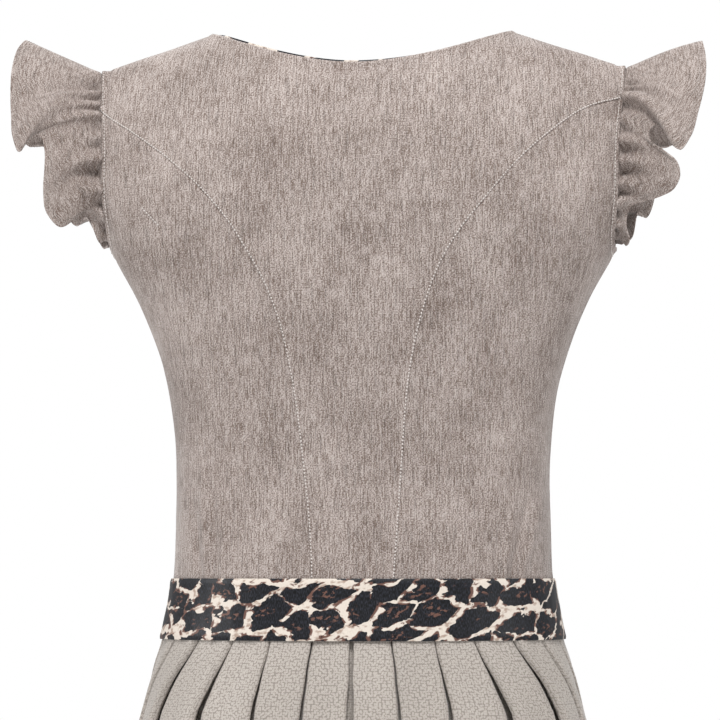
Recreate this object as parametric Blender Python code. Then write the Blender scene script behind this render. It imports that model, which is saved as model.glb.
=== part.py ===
"""Dirndl, filled out as worn: bodice, flutter sleeves, pleated skirt, apron, waist tie and bow.

+Z is up, the front faces -Y and the wearer's left is +X. The origin lies midway between the shoulder seams.
Sizes below are in millimetres and degrees. Each cut piece of cloth is one object with a real wall.

A place on the garment is given by its turn, its height z and how far it stands out of the form. The turn is
0 at centre back, 90 at the left side, 180 at centre front and -90 at the right side.
"""

import math
from collections import namedtuple

import bmesh
import bpy
import numpy as np

MM = 0.001

# ---- walls and gaps ----
SEAM_GAP = 0.3
BODICE_WALL = 1.6
FACING_WALL = 1.0
RUFFLE_WALL = 1.2
SKIRT_WALL = 1.1
BAND_WALL = 1.3
APRON_WALL = 1.0
BOW_WALL = 1.2

# ---- meshes ----
SHARP_ANGLE = 40.0
LEAST_MITRE = 0.66  # limits how far a bend's corner stands out

# ---- heights and widths of the bodice ----
NECK_HALF_WIDTH = 112.0
NECK_POINT_Z = 15.2
SHOULDER_TIP_X = 197.5
SHOULDER_SLOPE = 0.324
SHOULDER_ROUND = 150.0  # the cloth rounds over the shoulder within this drop
BACK_NECK_Z = -15.5
BACK_NECK_POWER = 1.7
FRONT_NECK_Z = -125.0
FRONT_NECK_POWER = 2.4
WAIST_SEAM_Z = -420.0
CUP_OUT, CUP_X, CUP_Z, CUP_WIDE, CUP_HIGH = 21.0, 88.0, -215.0, 50.0, 58.0
NECK_COLUMNS = 10  # stretches of cloth along the back neckline
CHART_RADIUS = 150.0  # turns are laid flat at this radius where edges are shaped

# The dressed form: half its width, its depth behind and in front of the side seams, and how square it is.
Section = namedtuple("Section", "z half_width back front power")
FORM = [
    Section(-1090.0, 313.0, 262.0, 258.0, 2.00),
    Section(-930.0, 279.0, 231.0, 229.0, 2.00),
    Section(-790.0, 244.0, 198.0, 199.0, 2.00),
    Section(-650.0, 206.0, 162.0, 166.0, 2.00),
    Section(-560.0, 182.5, 138.5, 144.0, 2.00),
    Section(-500.0, 167.0, 122.5, 130.0, 2.02),
    Section(-456.0, 155.2, 110.5, 119.5, 2.05),
    Section(-440.0, 150.1, 105.8, 115.5, 2.08),
    Section(-420.0, 145.6, 101.5, 111.5, 2.12),
    Section(-392.0, 141.2, 97.5, 108.5, 2.18),
    Section(-366.0, 140.2, 95.5, 107.5, 2.25),
    Section(-321.0, 139.3, 94.0, 107.0, 2.30),
    Section(-276.0, 142.0, 96.0, 110.5, 2.30),
    Section(-246.0, 147.2, 98.5, 113.0, 2.30),
    Section(-216.0, 156.3, 100.5, 114.5, 2.30),
    Section(-186.0, 169.0, 101.5, 114.5, 2.30),
    Section(-148.0, 189.5, 101.0, 113.0, 2.30),
    Section(-110.0, 204.5, 99.5, 108.5, 2.30),
    Section(-80.0, 207.5, 97.0, 104.0, 2.30),
    Section(-40.0, 207.0, 92.5, 97.0, 2.30),
    Section(0.0, 205.5, 88.0, 91.0, 2.30),
    Section(60.0, 204.0, 84.0, 86.0, 2.30),
]

# Armhole edge, the same behind and in front: how far short of the side seam it turns back, at each height.
ArmholeRow = namedtuple("ArmholeRow", "short_of_side z")
ARMHOLE = [
    ArmholeRow(19.5, -35.0),
    ArmholeRow(22.5, -62.0),
    ArmholeRow(23.0, -88.0),
    ArmholeRow(21.0, -112.0),
    ArmholeRow(16.0, -132.0),
    ArmholeRow(9.0, -144.0),
    ArmholeRow(0.0, -148.0),
]

# Princess seams: distance from the centre line at each height, from the waist up to the armhole.
SeamRow = namedtuple("SeamRow", "z x")
BACK_SEAM_LEFT = [
    SeamRow(-420.0, 30.5),
    SeamRow(-360.0, 32.0),
    SeamRow(-302.0, 37.9),
    SeamRow(-246.0, 45.5),
    SeamRow(-205.0, 55.0),
    SeamRow(-157.0, 77.3),
    SeamRow(-131.0, 94.2),
    SeamRow(-109.0, 113.0),
    SeamRow(-87.0, 137.4),
    SeamRow(-67.5, 163.5),
]
BACK_SEAM_RIGHT = [
    SeamRow(-420.0, 30.0),
    SeamRow(-360.0, 33.0),
    SeamRow(-302.0, 36.8),
    SeamRow(-240.0, 42.9),
    SeamRow(-200.0, 52.0),
    SeamRow(-152.0, 71.8),
    SeamRow(-120.0, 95.2),
    SeamRow(-100.0, 111.3),
    SeamRow(-73.0, 136.8),
    SeamRow(-50.0, 165.2),
]
FRONT_SEAM = [
    SeamRow(-420.0, 52.0),
    SeamRow(-360.0, 57.0),
    SeamRow(-300.0, 66.0),
    SeamRow(-240.0, 80.0),
    SeamRow(-200.0, 93.0),
    SeamRow(-160.0, 114.0),
    SeamRow(-125.0, 142.0),
    SeamRow(-95.0, 172.0),
]
BACK_SEAM_TOP_LEFT, BACK_SEAM_TOP_RIGHT, FRONT_SEAM_TOP = -44.5, -37.5, -72.0

# Flutter sleeve hems, from the shoulder down the back: each row is one turn of the free edge.
HemRow = namedtuple("HemRow", "out back z")
HEM_BACK_LEFT = [
    HemRow(256.6, -6.0, 13.0),
    HemRow(260.3, 10.0, 5.5),
    HemRow(262.0, 26.0, -9.0),
    HemRow(260.8, 42.0, -30.0),
    HemRow(258.6, 52.0, -50.0),
    HemRow(256.4, 57.0, -67.5),
    HemRow(251.8, 57.0, -78.4),
    HemRow(247.8, 51.0, -70.5),
    HemRow(243.4, 44.0, -62.5),
    HemRow(238.0, 43.0, -65.5),
    HemRow(234.2, 48.0, -75.0),
    HemRow(233.2, 53.0, -90.0),
    HemRow(233.8, 54.0, -107.0),
    HemRow(231.0, 53.0, -124.0),
    HemRow(221.0, 50.0, -134.0),
    HemRow(213.4, 45.0, -128.5),
    HemRow(209.0, 36.0, -117.0),
    HemRow(204.6, 30.0, -120.0),
    HemRow(200.4, 30.0, -132.0),
    HemRow(196.4, 26.0, -143.0),
    HemRow(195.0, 12.0, -139.5),
]
HEM_BACK_RIGHT = [
    HemRow(254.6, -6.0, 7.3),
    HemRow(257.3, 14.0, -6.9),
    HemRow(256.4, 34.0, -28.1),
    HemRow(251.4, 48.0, -51.0),
    HemRow(245.4, 55.0, -70.5),
    HemRow(237.9, 56.0, -80.6),
    HemRow(232.0, 50.0, -74.5),
    HemRow(228.5, 42.0, -65.5),
    HemRow(221.0, 37.0, -59.5),
    HemRow(215.2, 41.0, -65.0),
    HemRow(217.4, 47.0, -74.5),
    HemRow(227.4, 51.0, -81.8),
    HemRow(236.0, 53.0, -90.0),
    HemRow(237.6, 53.0, -99.5),
    HemRow(233.0, 51.0, -108.8),
    HemRow(223.0, 46.0, -114.0),
    HemRow(211.8, 41.0, -117.0),
    HemRow(202.4, 37.0, -119.8),
    HemRow(198.6, 33.0, -127.0),
    HemRow(198.4, 32.0, -136.0),
    HemRow(200.2, 30.0, -143.5),
    HemRow(198.4, 22.0, -148.0),
    HemRow(195.0, 11.0, -143.0),
]
# The same hems from the shoulder down the front, where three plain lobes finish them.
HEM_FRONT_LEFT = [
    HemRow(258.0, -22.0, 1.0),
    HemRow(262.0, -40.0, -32.0),
    HemRow(263.0, -52.0, -62.0),
    HemRow(250.0, -42.0, -63.0),
    HemRow(240.0, -30.0, -76.0),
    HemRow(237.0, -45.0, -104.0),
    HemRow(226.0, -52.0, -124.0),
    HemRow(214.0, -34.0, -120.0),
    HemRow(207.0, -28.0, -131.0),
    HemRow(201.0, -26.0, -143.0),
    HemRow(195.0, -12.0, -143.0),
]
HEM_FRONT_RIGHT = [
    HemRow(255.0, -22.0, -5.0),
    HemRow(253.0, -42.0, -33.0),
    HemRow(245.0, -54.0, -57.0),
    HemRow(230.0, -46.0, -67.0),
    HemRow(221.0, -36.0, -71.0),
    HemRow(217.5, -38.0, -86.0),
    HemRow(219.0, -48.0, -103.0),
    HemRow(213.0, -46.0, -121.0),
    HemRow(206.0, -31.0, -119.0),
    HemRow(202.0, -29.0, -137.0),
    HemRow(194.0, -13.0, -144.0),
]
RUFFLE_SEAM_STEP = 1.6
RUFFLE_SEAM_SHARE = 0.86  # the sleeve stops short of the underarm
# Share of the back hem, from the shoulder down, and the share of the seam that it hangs from.
ROOTS_LEFT = ((0.0, 0.0), (0.40, 0.19), (0.47, 0.30), (0.75, 0.70), (0.84, 0.82), (1.0, 1.0))
ROOTS_RIGHT = ((0.0, 0.0), (0.38, 0.18), (0.50, 0.30), (0.65, 0.50), (0.80, 0.72), (1.0, 1.0))
RUFFLE_ARCH_LEFT, RUFFLE_ARCH_RIGHT = 0.0, 3.0
RUFFLE_FALL_LEFT, RUFFLE_FALL_RIGHT = 3.2, 2.2  # how late cloth that falls turns down on its way out
RUFFLE_FALL_FROM = 30.0  # cloth that falls this far turns down so late, less so where it falls less
RUFFLE_COLUMNS, RUFFLE_ROWS, RUFFLE_BACK_SHARE = 72, 6, 0.62

# ---- skirt: turn of each pleat's fold edge, both sides alike ----
HEM_Z = -1090.0
PLEAT_CLOTH = 84.0  # cloth taken up by one pleat, measured along it
LEAST_UNDERLAY = 8.0
LEAST_CLEAR = 8.0  # an underlay ends at least this far before the next fold
SHOWN_SHARE, SHOWN_PAST_UNDERLAY = 0.8, 1.5  # where the shown cloth turns down to the next fold
FOLD_RETURN, FOLD_EDGE = (1.0, -1.0), (-1.2, -0.5)  # cloth turning at a fold: (along, out in layers)
OPEN_FROM_SHARE = 0.8  # a pleat wider than its underlay sinks open past this share
PANEL_SAG, OPEN_SAG = (-0.1, -0.3), (-0.2, -0.8)  # at its middle and where it turns down, in layers
FRONT_PANEL = ((0.0, 0.0), (0.15, -0.1), (0.4, -0.3), (0.7, -0.3), (1.0, 0.0))  # (share, out in layers)
FoldRow = namedtuple("FoldRow", "hem thigh hip top")
FOLDS = [
    FoldRow(2.8, 2.2, 1.35, 0.95),
    FoldRow(17.0, 16.0, 13.6, 11.2),
    FoldRow(31.5, 30.5, 27.2, 23.4),
    FoldRow(47.5, 47.5, 45.3, 35.7),
    FoldRow(63.5, 66.0, 66.0, 50.5),
    FoldRow(79.5, 81.8, 82.3, 65.0),
    FoldRow(95.0, 96.6, 96.8, 80.0),
    FoldRow(110.0, 110.0, 109.2, 95.0),
    FoldRow(125.0, 123.5, 120.5, 109.0),
]
FOLD_HEIGHTS = [HEM_Z, -680.0, -500.0, -440.0]
LAYER_HEIGHTS = [HEM_Z, -930.0, -650.0, -500.0, -440.0, WAIST_SEAM_Z]
LAYER_STEPS = [12.0, 10.0, 7.0, 5.0, 2.8, 2.1]  # from one layer of a pleat to the next, at those heights
SKIRT_ROWS = [-420.3, -440.0, -460.0, -482.0, -510.0, -560.0, -640.0, -760.0, -910.0, HEM_Z]
SIDE_SEAM_FOLD = 5  # the side seam lies in the panel that starts at this fold

# ---- waist tie, apron and bow ----
BAND_TOP, BAND_BOTTOM = -394.5, -439.5
BAND_OUT = 2.45
BAND_BACK_COLUMNS, BAND_FRONT_COLUMNS, BAND_ROWS = 41, 21, 3
BAND_JOIN, BAND_JOIN_GAP = 121.0, 0.08  # turn where the tie is sewn to the apron's waistband
APRON_TOP, APRON_HEM = -439.8, -1040.0
APRON_EDGE_TOP, APRON_EDGE_HEM = 119.0, 131.0
APRON_GATHERS = 13
APRON_GATHER_COLUMNS, APRON_ROWS = 4, 6
APRON_CLEAR, APRON_CLEAR_GAIN = 1.6, 2.0
APRON_WAVE_TOP, APRON_WAVE_HEM, APRON_WAVE_POWER = 0.7, 9.0, 0.8
APRON_ROW_POWER = 1.15  # rows lie closer near the waist
BOW_TURN, BOW_Z, BOW_OUT = 165.0, -417.0, 14.5
KNOT_HALF = (17.0, 11.0, 24.0)
KNOT_SEGMENTS = (14, 8)
LOOP_COLUMNS, LOOP_ROWS = 13, 4
TAIL_COLUMNS, TAIL_ROWS = 5, 8
LOOP_START, LOOP_DROOP = 17.6, 8.0
TAIL_LENGTH = 330.0
TAIL_SLANT = 0.04  # share of its length by which a tail's outer corner hangs lower
TAIL_HALF_TOP, TAIL_SPREAD = 2.3, 2.2  # half width at the knot, and what it gains, in turns
TAIL_APART, TAIL_PARTING = 2.8, 3.2  # each tail's turn from the knot, and what it gains
TAIL_TOP_OUT, TAIL_CLEAR, TAIL_WAVE, TAIL_BEND = 8.0, 1.0, 2.0, 2.2
TAIL_UNDER_KNOT = 0.94  # a tail starts at this share of the knot's lower half
TAIL_LIFT, TAIL_LIFT_GAIN = 0.26, 0.74  # how far up the hem's waves the tails lie, as shares

LoopRow = namedtuple("LoopRow", "along out half_height")
LOOP = [
    LoopRow(0.0, 1.7, 11.0),
    LoopRow(17.0, 6.5, 17.0),
    LoopRow(39.0, 11.0, 21.5),
    LoopRow(60.0, 11.0, 23.0),
    LoopRow(73.0, 5.0, 23.0),
    LoopRow(70.0, -3.0, 23.0),
    LoopRow(49.0, -6.5, 22.0),
    LoopRow(24.0, -5.0, 17.5),
    LoopRow(0.0, -1.7, 11.0),
]

# ---- cloths: colour, roughness, metallic ----
CLOTHS = {
    "chenille": ((0.400, 0.350, 0.315), 0.85, 0.0),
    "jacquard": ((0.420, 0.375, 0.325), 0.55, 0.0),
    "spotted_satin": ((0.300, 0.235, 0.200), 0.40, 0.0),
}


# ---- curves and the form ----


def steady_slopes(knots, values):
    """Slopes at the knots that never carry a curve past its values."""
    rise = np.diff(values) / np.diff(knots)
    slopes = np.concatenate([rise[:1], np.zeros(len(rise) - 1), rise[-1:]])
    same_way = rise[:-1] * rise[1:] > 0
    pairs = rise[:-1][same_way], rise[1:][same_way]
    slopes[1:-1][same_way] = 2 * pairs[0] * pairs[1] / (pairs[0] + pairs[1])
    return slopes


def smooth_curve(knots, values, steady=False):
    """Function of place that runs smoothly through the values at the rising knots."""
    knots, values = np.asarray(knots, float), np.asarray(values, float)
    slopes = steady_slopes(knots, values) if steady else np.gradient(values, knots, axis=0)

    def at(place):
        place = np.clip(place, knots[0], knots[-1])
        i = np.clip(np.searchsorted(knots, place, side="right") - 1, 0, len(knots) - 2)
        span = knots[i + 1] - knots[i]
        t = (place - knots[i]) / span
        if values.ndim > 1:
            t, span = t[..., None], span[..., None]
        start = (1 + 2 * t) * (1 - t) ** 2 * values[i] + t * (1 - t) ** 2 * span * slopes[i]
        end = t * t * (3 - 2 * t) * values[i + 1] + t * t * (t - 1) * span * slopes[i + 1]
        return start + end

    return at


def smooth_line(points, count=200):
    """Dense line through the points, smooth and evenly spaced."""
    points = np.asarray(points, float)
    steps = np.linalg.norm(np.diff(points, axis=0), axis=1)
    knots = np.concatenate([[0.0], np.cumsum(steps)])
    return even(smooth_curve(knots, points)(np.linspace(0, knots[-1], count)), count)


def at_shares(line, shares):
    """Points of the line at these shares of its length."""
    steps = np.linalg.norm(np.diff(line, axis=0), axis=1)
    length = np.concatenate([[0.0], np.cumsum(steps)])
    return np.stack([np.interp(shares * length[-1], length, column) for column in line.T], axis=1)


def even(line, count):
    """The line again with this many evenly spaced points."""
    return at_shares(line, np.linspace(0, 1, count))


FORM_CURVE = smooth_curve([row.z for row in FORM], [row[1:] for row in FORM])
LAYER_STEP = smooth_curve(LAYER_HEIGHTS, LAYER_STEPS)


def signed_power(value, power):
    return np.sign(value) * np.abs(value) ** power


def shoulder_line(x):
    """Height of the shoulder seam's line at this distance from the centre."""
    return NECK_POINT_Z - SHOULDER_SLOPE * (np.abs(x) - NECK_HALF_WIDTH)


def form_point(turn, z, out=0.0):
    """Points of the dressed form at a turn and height, standing out by this much."""
    turn, z, out = np.broadcast_arrays(np.radians(turn), np.asarray(z, float), np.asarray(out, float))
    half_width, back, front, power = np.moveaxis(FORM_CURVE(z), -1, 0)
    across, facing = np.sin(turn), np.cos(turn)
    width_share = signed_power(across, 2 / power)
    drop = np.clip((shoulder_line(half_width * width_share) - z) / SHOULDER_ROUND, 0, 1)
    depth = np.where(facing > 0, back, front) + out
    y = depth * signed_power(facing, 2 / power) * np.sqrt(1 - (1 - drop) ** 2)
    y = y + np.sign(facing) * SEAM_GAP / 2 * (1 - drop) ** 2
    x = (half_width + out) * width_share
    cup = CUP_OUT * np.exp(-(((np.abs(x) - CUP_X) / CUP_WIDE) ** 2) - ((z - CUP_Z) / CUP_HIGH) ** 2)
    y = y - np.where(facing < 0, cup * facing**2, 0)
    return np.stack([x, y, z + out * (1 - drop) ** 2], axis=-1)


def turn_of(x, z, front=False):
    """Turn of the place that lies this far left of the centre line."""
    half_width, _, _, power = np.moveaxis(FORM_CURVE(np.asarray(z, float)), -1, 0)
    share = np.clip(np.abs(x) / half_width, 0, 1)
    turn = np.degrees(np.arcsin(share ** (power / 2)))
    turn = 180 - turn if front else turn
    return np.where(np.asarray(x) < 0, -turn, turn)


def millimetres_a_degree(turn, z):
    """Length along the form of one degree of turn."""
    half = 0.5
    return np.linalg.norm(form_point(turn + half, z) - form_point(turn - half, z), axis=-1)


# ---- the chart: edges and panels laid flat, as (arc, z) ----


def chart(x, z, front=False):
    x, z = np.broadcast_arrays(np.asarray(x, float), np.asarray(z, float))
    return np.stack([np.radians(turn_of(x, z, front)) * CHART_RADIUS, z], axis=-1)


def from_chart(points, out):
    return form_point(np.degrees(points[..., 0] / CHART_RADIUS), points[..., 1], out)


def shifted(line, distance):
    """A chart line moved sideways, to the left of its own direction."""
    tangent = np.gradient(line, axis=0)
    tangent /= np.linalg.norm(tangent, axis=1)[:, None]
    return line + distance * np.stack([-tangent[:, 1], tangent[:, 0]], axis=1)


def armhole(front=False):
    """Chart line of the left armhole's back or front edge, from the shoulder tip to the side seam."""
    tip = chart(SHOULDER_TIP_X, shoulder_line(SHOULDER_TIP_X), front)
    side = -1 if front else 1
    turns = [90 - side * row.short_of_side for row in ARMHOLE]
    rows = [(math.radians(turn) * CHART_RADIUS, row.z) for turn, row in zip(turns, ARMHOLE)]
    return smooth_line([tip, *rows])


def split_at(line, z):
    """The two parts of a line that falls, above and below this height."""
    i = int(np.searchsorted(-line[:, 1], -z))
    share = (z - line[i - 1, 1]) / (line[i, 1] - line[i - 1, 1])
    at = line[i - 1] + share * (line[i] - line[i - 1])
    return np.vstack([line[:i], at]), np.vstack([at, line[i:]])


def princess(rows, top_z, front=False):
    """Chart line of a princess seam from the waist up to the armhole."""
    top = split_at(armhole(front), top_z)[1][0]
    points = [chart(row.x, row.z, front) for row in rows]
    return smooth_line([*points, top])


def back_neck(x):
    share = np.abs(x) / NECK_HALF_WIDTH
    return BACK_NECK_Z + (NECK_POINT_Z - BACK_NECK_Z) * share**BACK_NECK_POWER


def back_neck_line():
    """Chart line of the back neckline, from the right neck point to the left one."""
    x = np.linspace(-NECK_HALF_WIDTH, NECK_HALF_WIDTH, 100)
    return chart(x, back_neck(x))


def front_neck_line():
    """Chart line of the left half of the front neckline, from centre front to the neck point."""
    angle = np.linspace(0, math.pi / 2, 100)
    x = NECK_HALF_WIDTH * np.sin(angle) ** (2 / FRONT_NECK_POWER)
    z = NECK_POINT_Z - (NECK_POINT_Z - FRONT_NECK_Z) * np.cos(angle) ** (2 / FRONT_NECK_POWER)
    return chart(x, z, front=True)


def shoulder_seam(front=False):
    """Chart line from the neck point to the shoulder tip on the left side."""
    x = np.linspace(NECK_HALF_WIDTH, SHOULDER_TIP_X, 30)
    return chart(x, shoulder_line(x), front)


def mirrored(line):
    return line * np.array([-1.0, 1.0])


def joined(*pieces):
    """Lines end to end, each given with its number of stretches."""
    sampled = [even(line, count + 1) for line, count in pieces]
    return np.vstack([sampled[0], *[line[1:] for line in sampled[1:]]])


def panel(bottom, top, left, right):
    """Grid of chart points between four edges, with its left and right edges kept off the seams."""
    u = np.linspace(0, 1, len(bottom))[:, None, None]
    v = np.linspace(0, 1, len(left))[None, :, None]
    grid = (1 - v) * bottom[:, None] + v * top[:, None] + (1 - u) * left[None] + u * right[None]
    grid -= (1 - u) * (1 - v) * bottom[0] + u * (1 - v) * bottom[-1]
    grid -= (1 - u) * v * top[0] + u * v * top[-1]
    for edge, inner in ((0, 1), (-1, -2)):
        away = shifted(grid[edge], SEAM_GAP / 2) - grid[edge]
        side = np.sign(np.sum(away * (grid[inner] - grid[edge]), axis=-1, keepdims=True))
        grid[edge] = grid[edge] + side * away
    return grid


# ---- meshes ----


def cloth(name, face, lining, material):
    """One object: the closed wall between two grids of points, the cloth's face and its lining side."""
    columns, rows = face.shape[:2]
    bm = bmesh.new()
    sides = [[[bm.verts.new(p * MM) for p in column] for column in grid] for grid in (face, lining)]
    for side in sides:
        for i in range(columns - 1):
            for j in range(rows - 1):
                bm.faces.new((side[i][j], side[i + 1][j], side[i + 1][j + 1], side[i][j + 1]))
    rim = [(i, 0) for i in range(columns)]
    rim += [(columns - 1, j) for j in range(1, rows)]
    rim += [(i, rows - 1) for i in range(columns - 2, -1, -1)]
    rim += [(0, j) for j in range(rows - 2, 0, -1)]
    for (i, j), (k, m) in zip(rim, rim[1:] + rim[:1]):
        bm.faces.new((sides[0][i][j], sides[0][k][m], sides[1][k][m], sides[1][i][j]))
    bmesh.ops.recalc_face_normals(bm, faces=bm.faces)
    return add_object(name, bm, material)


def add_object(name, bm, material):
    mesh = bpy.data.meshes.new(name)
    bm.to_mesh(mesh)
    bm.free()
    mesh.shade_smooth()
    mesh.set_sharp_from_angle(angle=math.radians(SHARP_ANGLE))
    mesh.materials.append(material)
    obj = bpy.data.objects.new(name, mesh)
    bpy.data.collections["dirndl"].objects.link(obj)
    return obj


def thickened(grid, thickness):
    """The two faces of a cloth whose middle is this grid, each half a wall away along its normals."""
    along, across = np.gradient(grid, axis=0), np.gradient(grid, axis=1)
    normal = np.cross(along, across)
    normal /= np.linalg.norm(normal, axis=-1, keepdims=True)
    return grid + normal * thickness / 2, grid - normal * thickness / 2


def upright(lines, thickness):
    """The two faces of cloth whose level sections are these lines, with mitred bends."""
    step = np.diff(lines[..., :2], axis=0)
    step /= np.linalg.norm(step, axis=-1, keepdims=True)
    side = np.stack([-step[..., 1], step[..., 0]], axis=-1)
    before, after = np.concatenate([side[:1], side]), np.concatenate([side, side[-1:]])
    middle = before + after
    middle /= np.linalg.norm(middle, axis=-1, keepdims=True)
    mitre = 1 / np.maximum(np.sum(middle * before, axis=-1, keepdims=True), LEAST_MITRE)
    shift = np.zeros_like(lines)
    shift[..., :2] = middle * mitre * thickness / 2
    return lines + shift, lines - shift


def make_cloth_material(name):
    colour, roughness, metallic = CLOTHS[name]
    material = bpy.data.materials.new(name)
    material.use_nodes = True
    shader = material.node_tree.nodes["Principled BSDF"]
    shader.inputs["Base Color"].default_value = (*colour, 1.0)
    shader.inputs["Roughness"].default_value = roughness
    shader.inputs["Metallic"].default_value = metallic
    material.diffuse_color = (*colour, 1.0)
    return material


# ---- bodice ----


def waist(start, end, count):
    return np.linspace(start, end, count + 1)


def make_bodice(material):
    rows_seam, rows_arm, rows_front_arm, rows_opening = 11, 4, 8, 8
    columns_shoulder, columns_side, columns_front = 3, 8, 6
    left_seam = princess(BACK_SEAM_LEFT, BACK_SEAM_TOP_LEFT)
    right_seam = princess(BACK_SEAM_RIGHT, BACK_SEAM_TOP_RIGHT)
    front_seam = princess(FRONT_SEAM, FRONT_SEAM_TOP, front=True)
    side_low = chart(FORM_CURVE(WAIST_SEAM_Z)[0], WAIST_SEAM_Z)
    side_high = armhole()[-1]

    def centre_edge(seam, top_z, front=False):
        upper = split_at(armhole(front), top_z)[0][::-1]
        return joined((seam, rows_seam), (upper, rows_front_arm if front else rows_arm))

    def add_panel(name, grid, mirror=False):
        grid = mirrored(grid) if mirror else grid
        cloth(name, from_chart(grid, 0.0), from_chart(grid, -BODICE_WALL), material)

    left_edge = centre_edge(left_seam, BACK_SEAM_TOP_LEFT)
    right_edge = mirrored(centre_edge(right_seam, BACK_SEAM_TOP_RIGHT))
    top = joined(
        (mirrored(shoulder_seam())[::-1], columns_shoulder),
        (back_neck_line(), NECK_COLUMNS),
        (shoulder_seam(), columns_shoulder),
    )
    bottom = waist(right_edge[0], left_edge[0], len(top) - 1)
    add_panel("back_centre", panel(bottom, top, right_edge, left_edge))

    side = waist(side_low, side_high, rows_seam)
    for name, seam, top_z, mirror in (
        ("back_side_left", left_seam, BACK_SEAM_TOP_LEFT, False),
        ("back_side_right", right_seam, BACK_SEAM_TOP_RIGHT, True),
    ):
        lower = split_at(armhole(), top_z)[1]
        top = even(lower, columns_side + 1)
        bottom = waist(seam[0], side_low, columns_side)
        add_panel(name, panel(bottom, top, even(seam, rows_seam + 1), side), mirror)

    front_low = chart(0.0, WAIST_SEAM_Z, front=True)
    neck = front_neck_line()
    rows_neck = rows_seam + rows_front_arm - rows_opening
    centre = joined((np.array([front_low, neck[0]]), rows_opening), (neck, rows_neck))
    front_edge = centre_edge(front_seam, FRONT_SEAM_TOP, front=True)
    top = even(shoulder_seam(front=True), columns_front + 1)
    bottom = waist(front_low, front_edge[0], columns_front)
    front_centre = panel(bottom, top, centre, front_edge)
    lower = split_at(armhole(front=True), FRONT_SEAM_TOP)[1]
    bottom = waist(front_seam[0], side_low, columns_side)
    front_side = panel(bottom, even(lower, columns_side + 1), even(front_seam, rows_seam + 1), side)
    for hand, mirror in (("left", False), ("right", True)):
        add_panel(f"front_centre_{hand}", front_centre, mirror)
        add_panel(f"front_side_{hand}", front_side, mirror)


def make_neck_facing(material):
    """Strip inside the back neckline that stands a millimetre above it."""
    above, below, short = 1.0, 24.0, 0.84
    line = even(back_neck_line(), NECK_COLUMNS + 1)
    line[[0, -1], 0] *= short
    rise = np.array([-below, -below / 2, above])
    grid = np.repeat(line[:, None], len(rise), axis=1)
    grid[..., 1] += rise
    behind = BODICE_WALL + np.array([2.2, 1.8, 0.45])
    cloth("neck_facing", from_chart(grid, -behind), from_chart(grid, -behind - FACING_WALL), material)


# ---- flutter sleeves ----


def sleeve_seam(front):
    """Where the left sleeve is sewn on, from the shoulder tip down: just off the armhole's edge."""
    line = armhole(front)
    line = line[: int(len(line) * RUFFLE_SEAM_SHARE)]
    edge = from_chart(line, 0.0)
    normal = from_chart(line, 1.0) - edge
    away = np.cross(np.gradient(edge, axis=0), normal)
    away *= np.sign(away[:, :1]) / np.linalg.norm(away, axis=1)[:, None]
    return from_chart(line, -BODICE_WALL / 2) + away * RUFFLE_SEAM_STEP


def ruffle_grid(hem_back, hem_front, roots, arch, fall, side):
    """Middle surface of one sleeve, from the back underarm over the shoulder to the front."""
    back_rows, front_rows = [[(row.out, row.back, row.z) for row in rows] for rows in (hem_back, hem_front)]
    hem = smooth_line(back_rows[::-1] + front_rows, 400)
    top = int(np.argmin(np.linalg.norm(hem - np.array(back_rows[0]), axis=1)))
    back = int(RUFFLE_COLUMNS * RUFFLE_BACK_SHARE)
    front = RUFFLE_COLUMNS - back
    hem = joined((hem[: top + 1], back), (hem[top:], front))
    hangs_from = np.interp(np.linspace(1, 0, back + 1), *zip(*roots))
    seam = np.vstack([at_shares(sleeve_seam(False), hangs_from), even(sleeve_seam(True), front + 1)[1:]])
    share = np.linspace(0, 1, RUFFLE_ROWS)[None, :, None]
    grid = seam[:, None] * (1 - share) + hem[:, None] * share
    width = np.linalg.norm(hem - seam, axis=1)[:, None] / np.linalg.norm(hem - seam, axis=1).max()
    rise = (hem - seam)[:, None, 2]
    falls = 1 + (fall - 1) * np.clip(-rise / RUFFLE_FALL_FROM, 0, 1)
    grid[..., 2] = seam[:, None, 2] + rise * share[..., 0] ** falls
    grid[..., 2] += arch * width * (4 * share * (1 - share))[..., 0]
    grid[..., 0] *= side
    return grid


def make_ruffles(material):
    left = (HEM_BACK_LEFT, HEM_FRONT_LEFT, ROOTS_LEFT, RUFFLE_ARCH_LEFT, RUFFLE_FALL_LEFT)
    right = (HEM_BACK_RIGHT, HEM_FRONT_RIGHT, ROOTS_RIGHT, RUFFLE_ARCH_RIGHT, RUFFLE_FALL_RIGHT)
    cloth("ruffle_left", *thickened(ruffle_grid(*left, 1), RUFFLE_WALL), material)
    cloth("ruffle_right", *thickened(ruffle_grid(*right, -1), RUFFLE_WALL), material)


# ---- skirt ----


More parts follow.
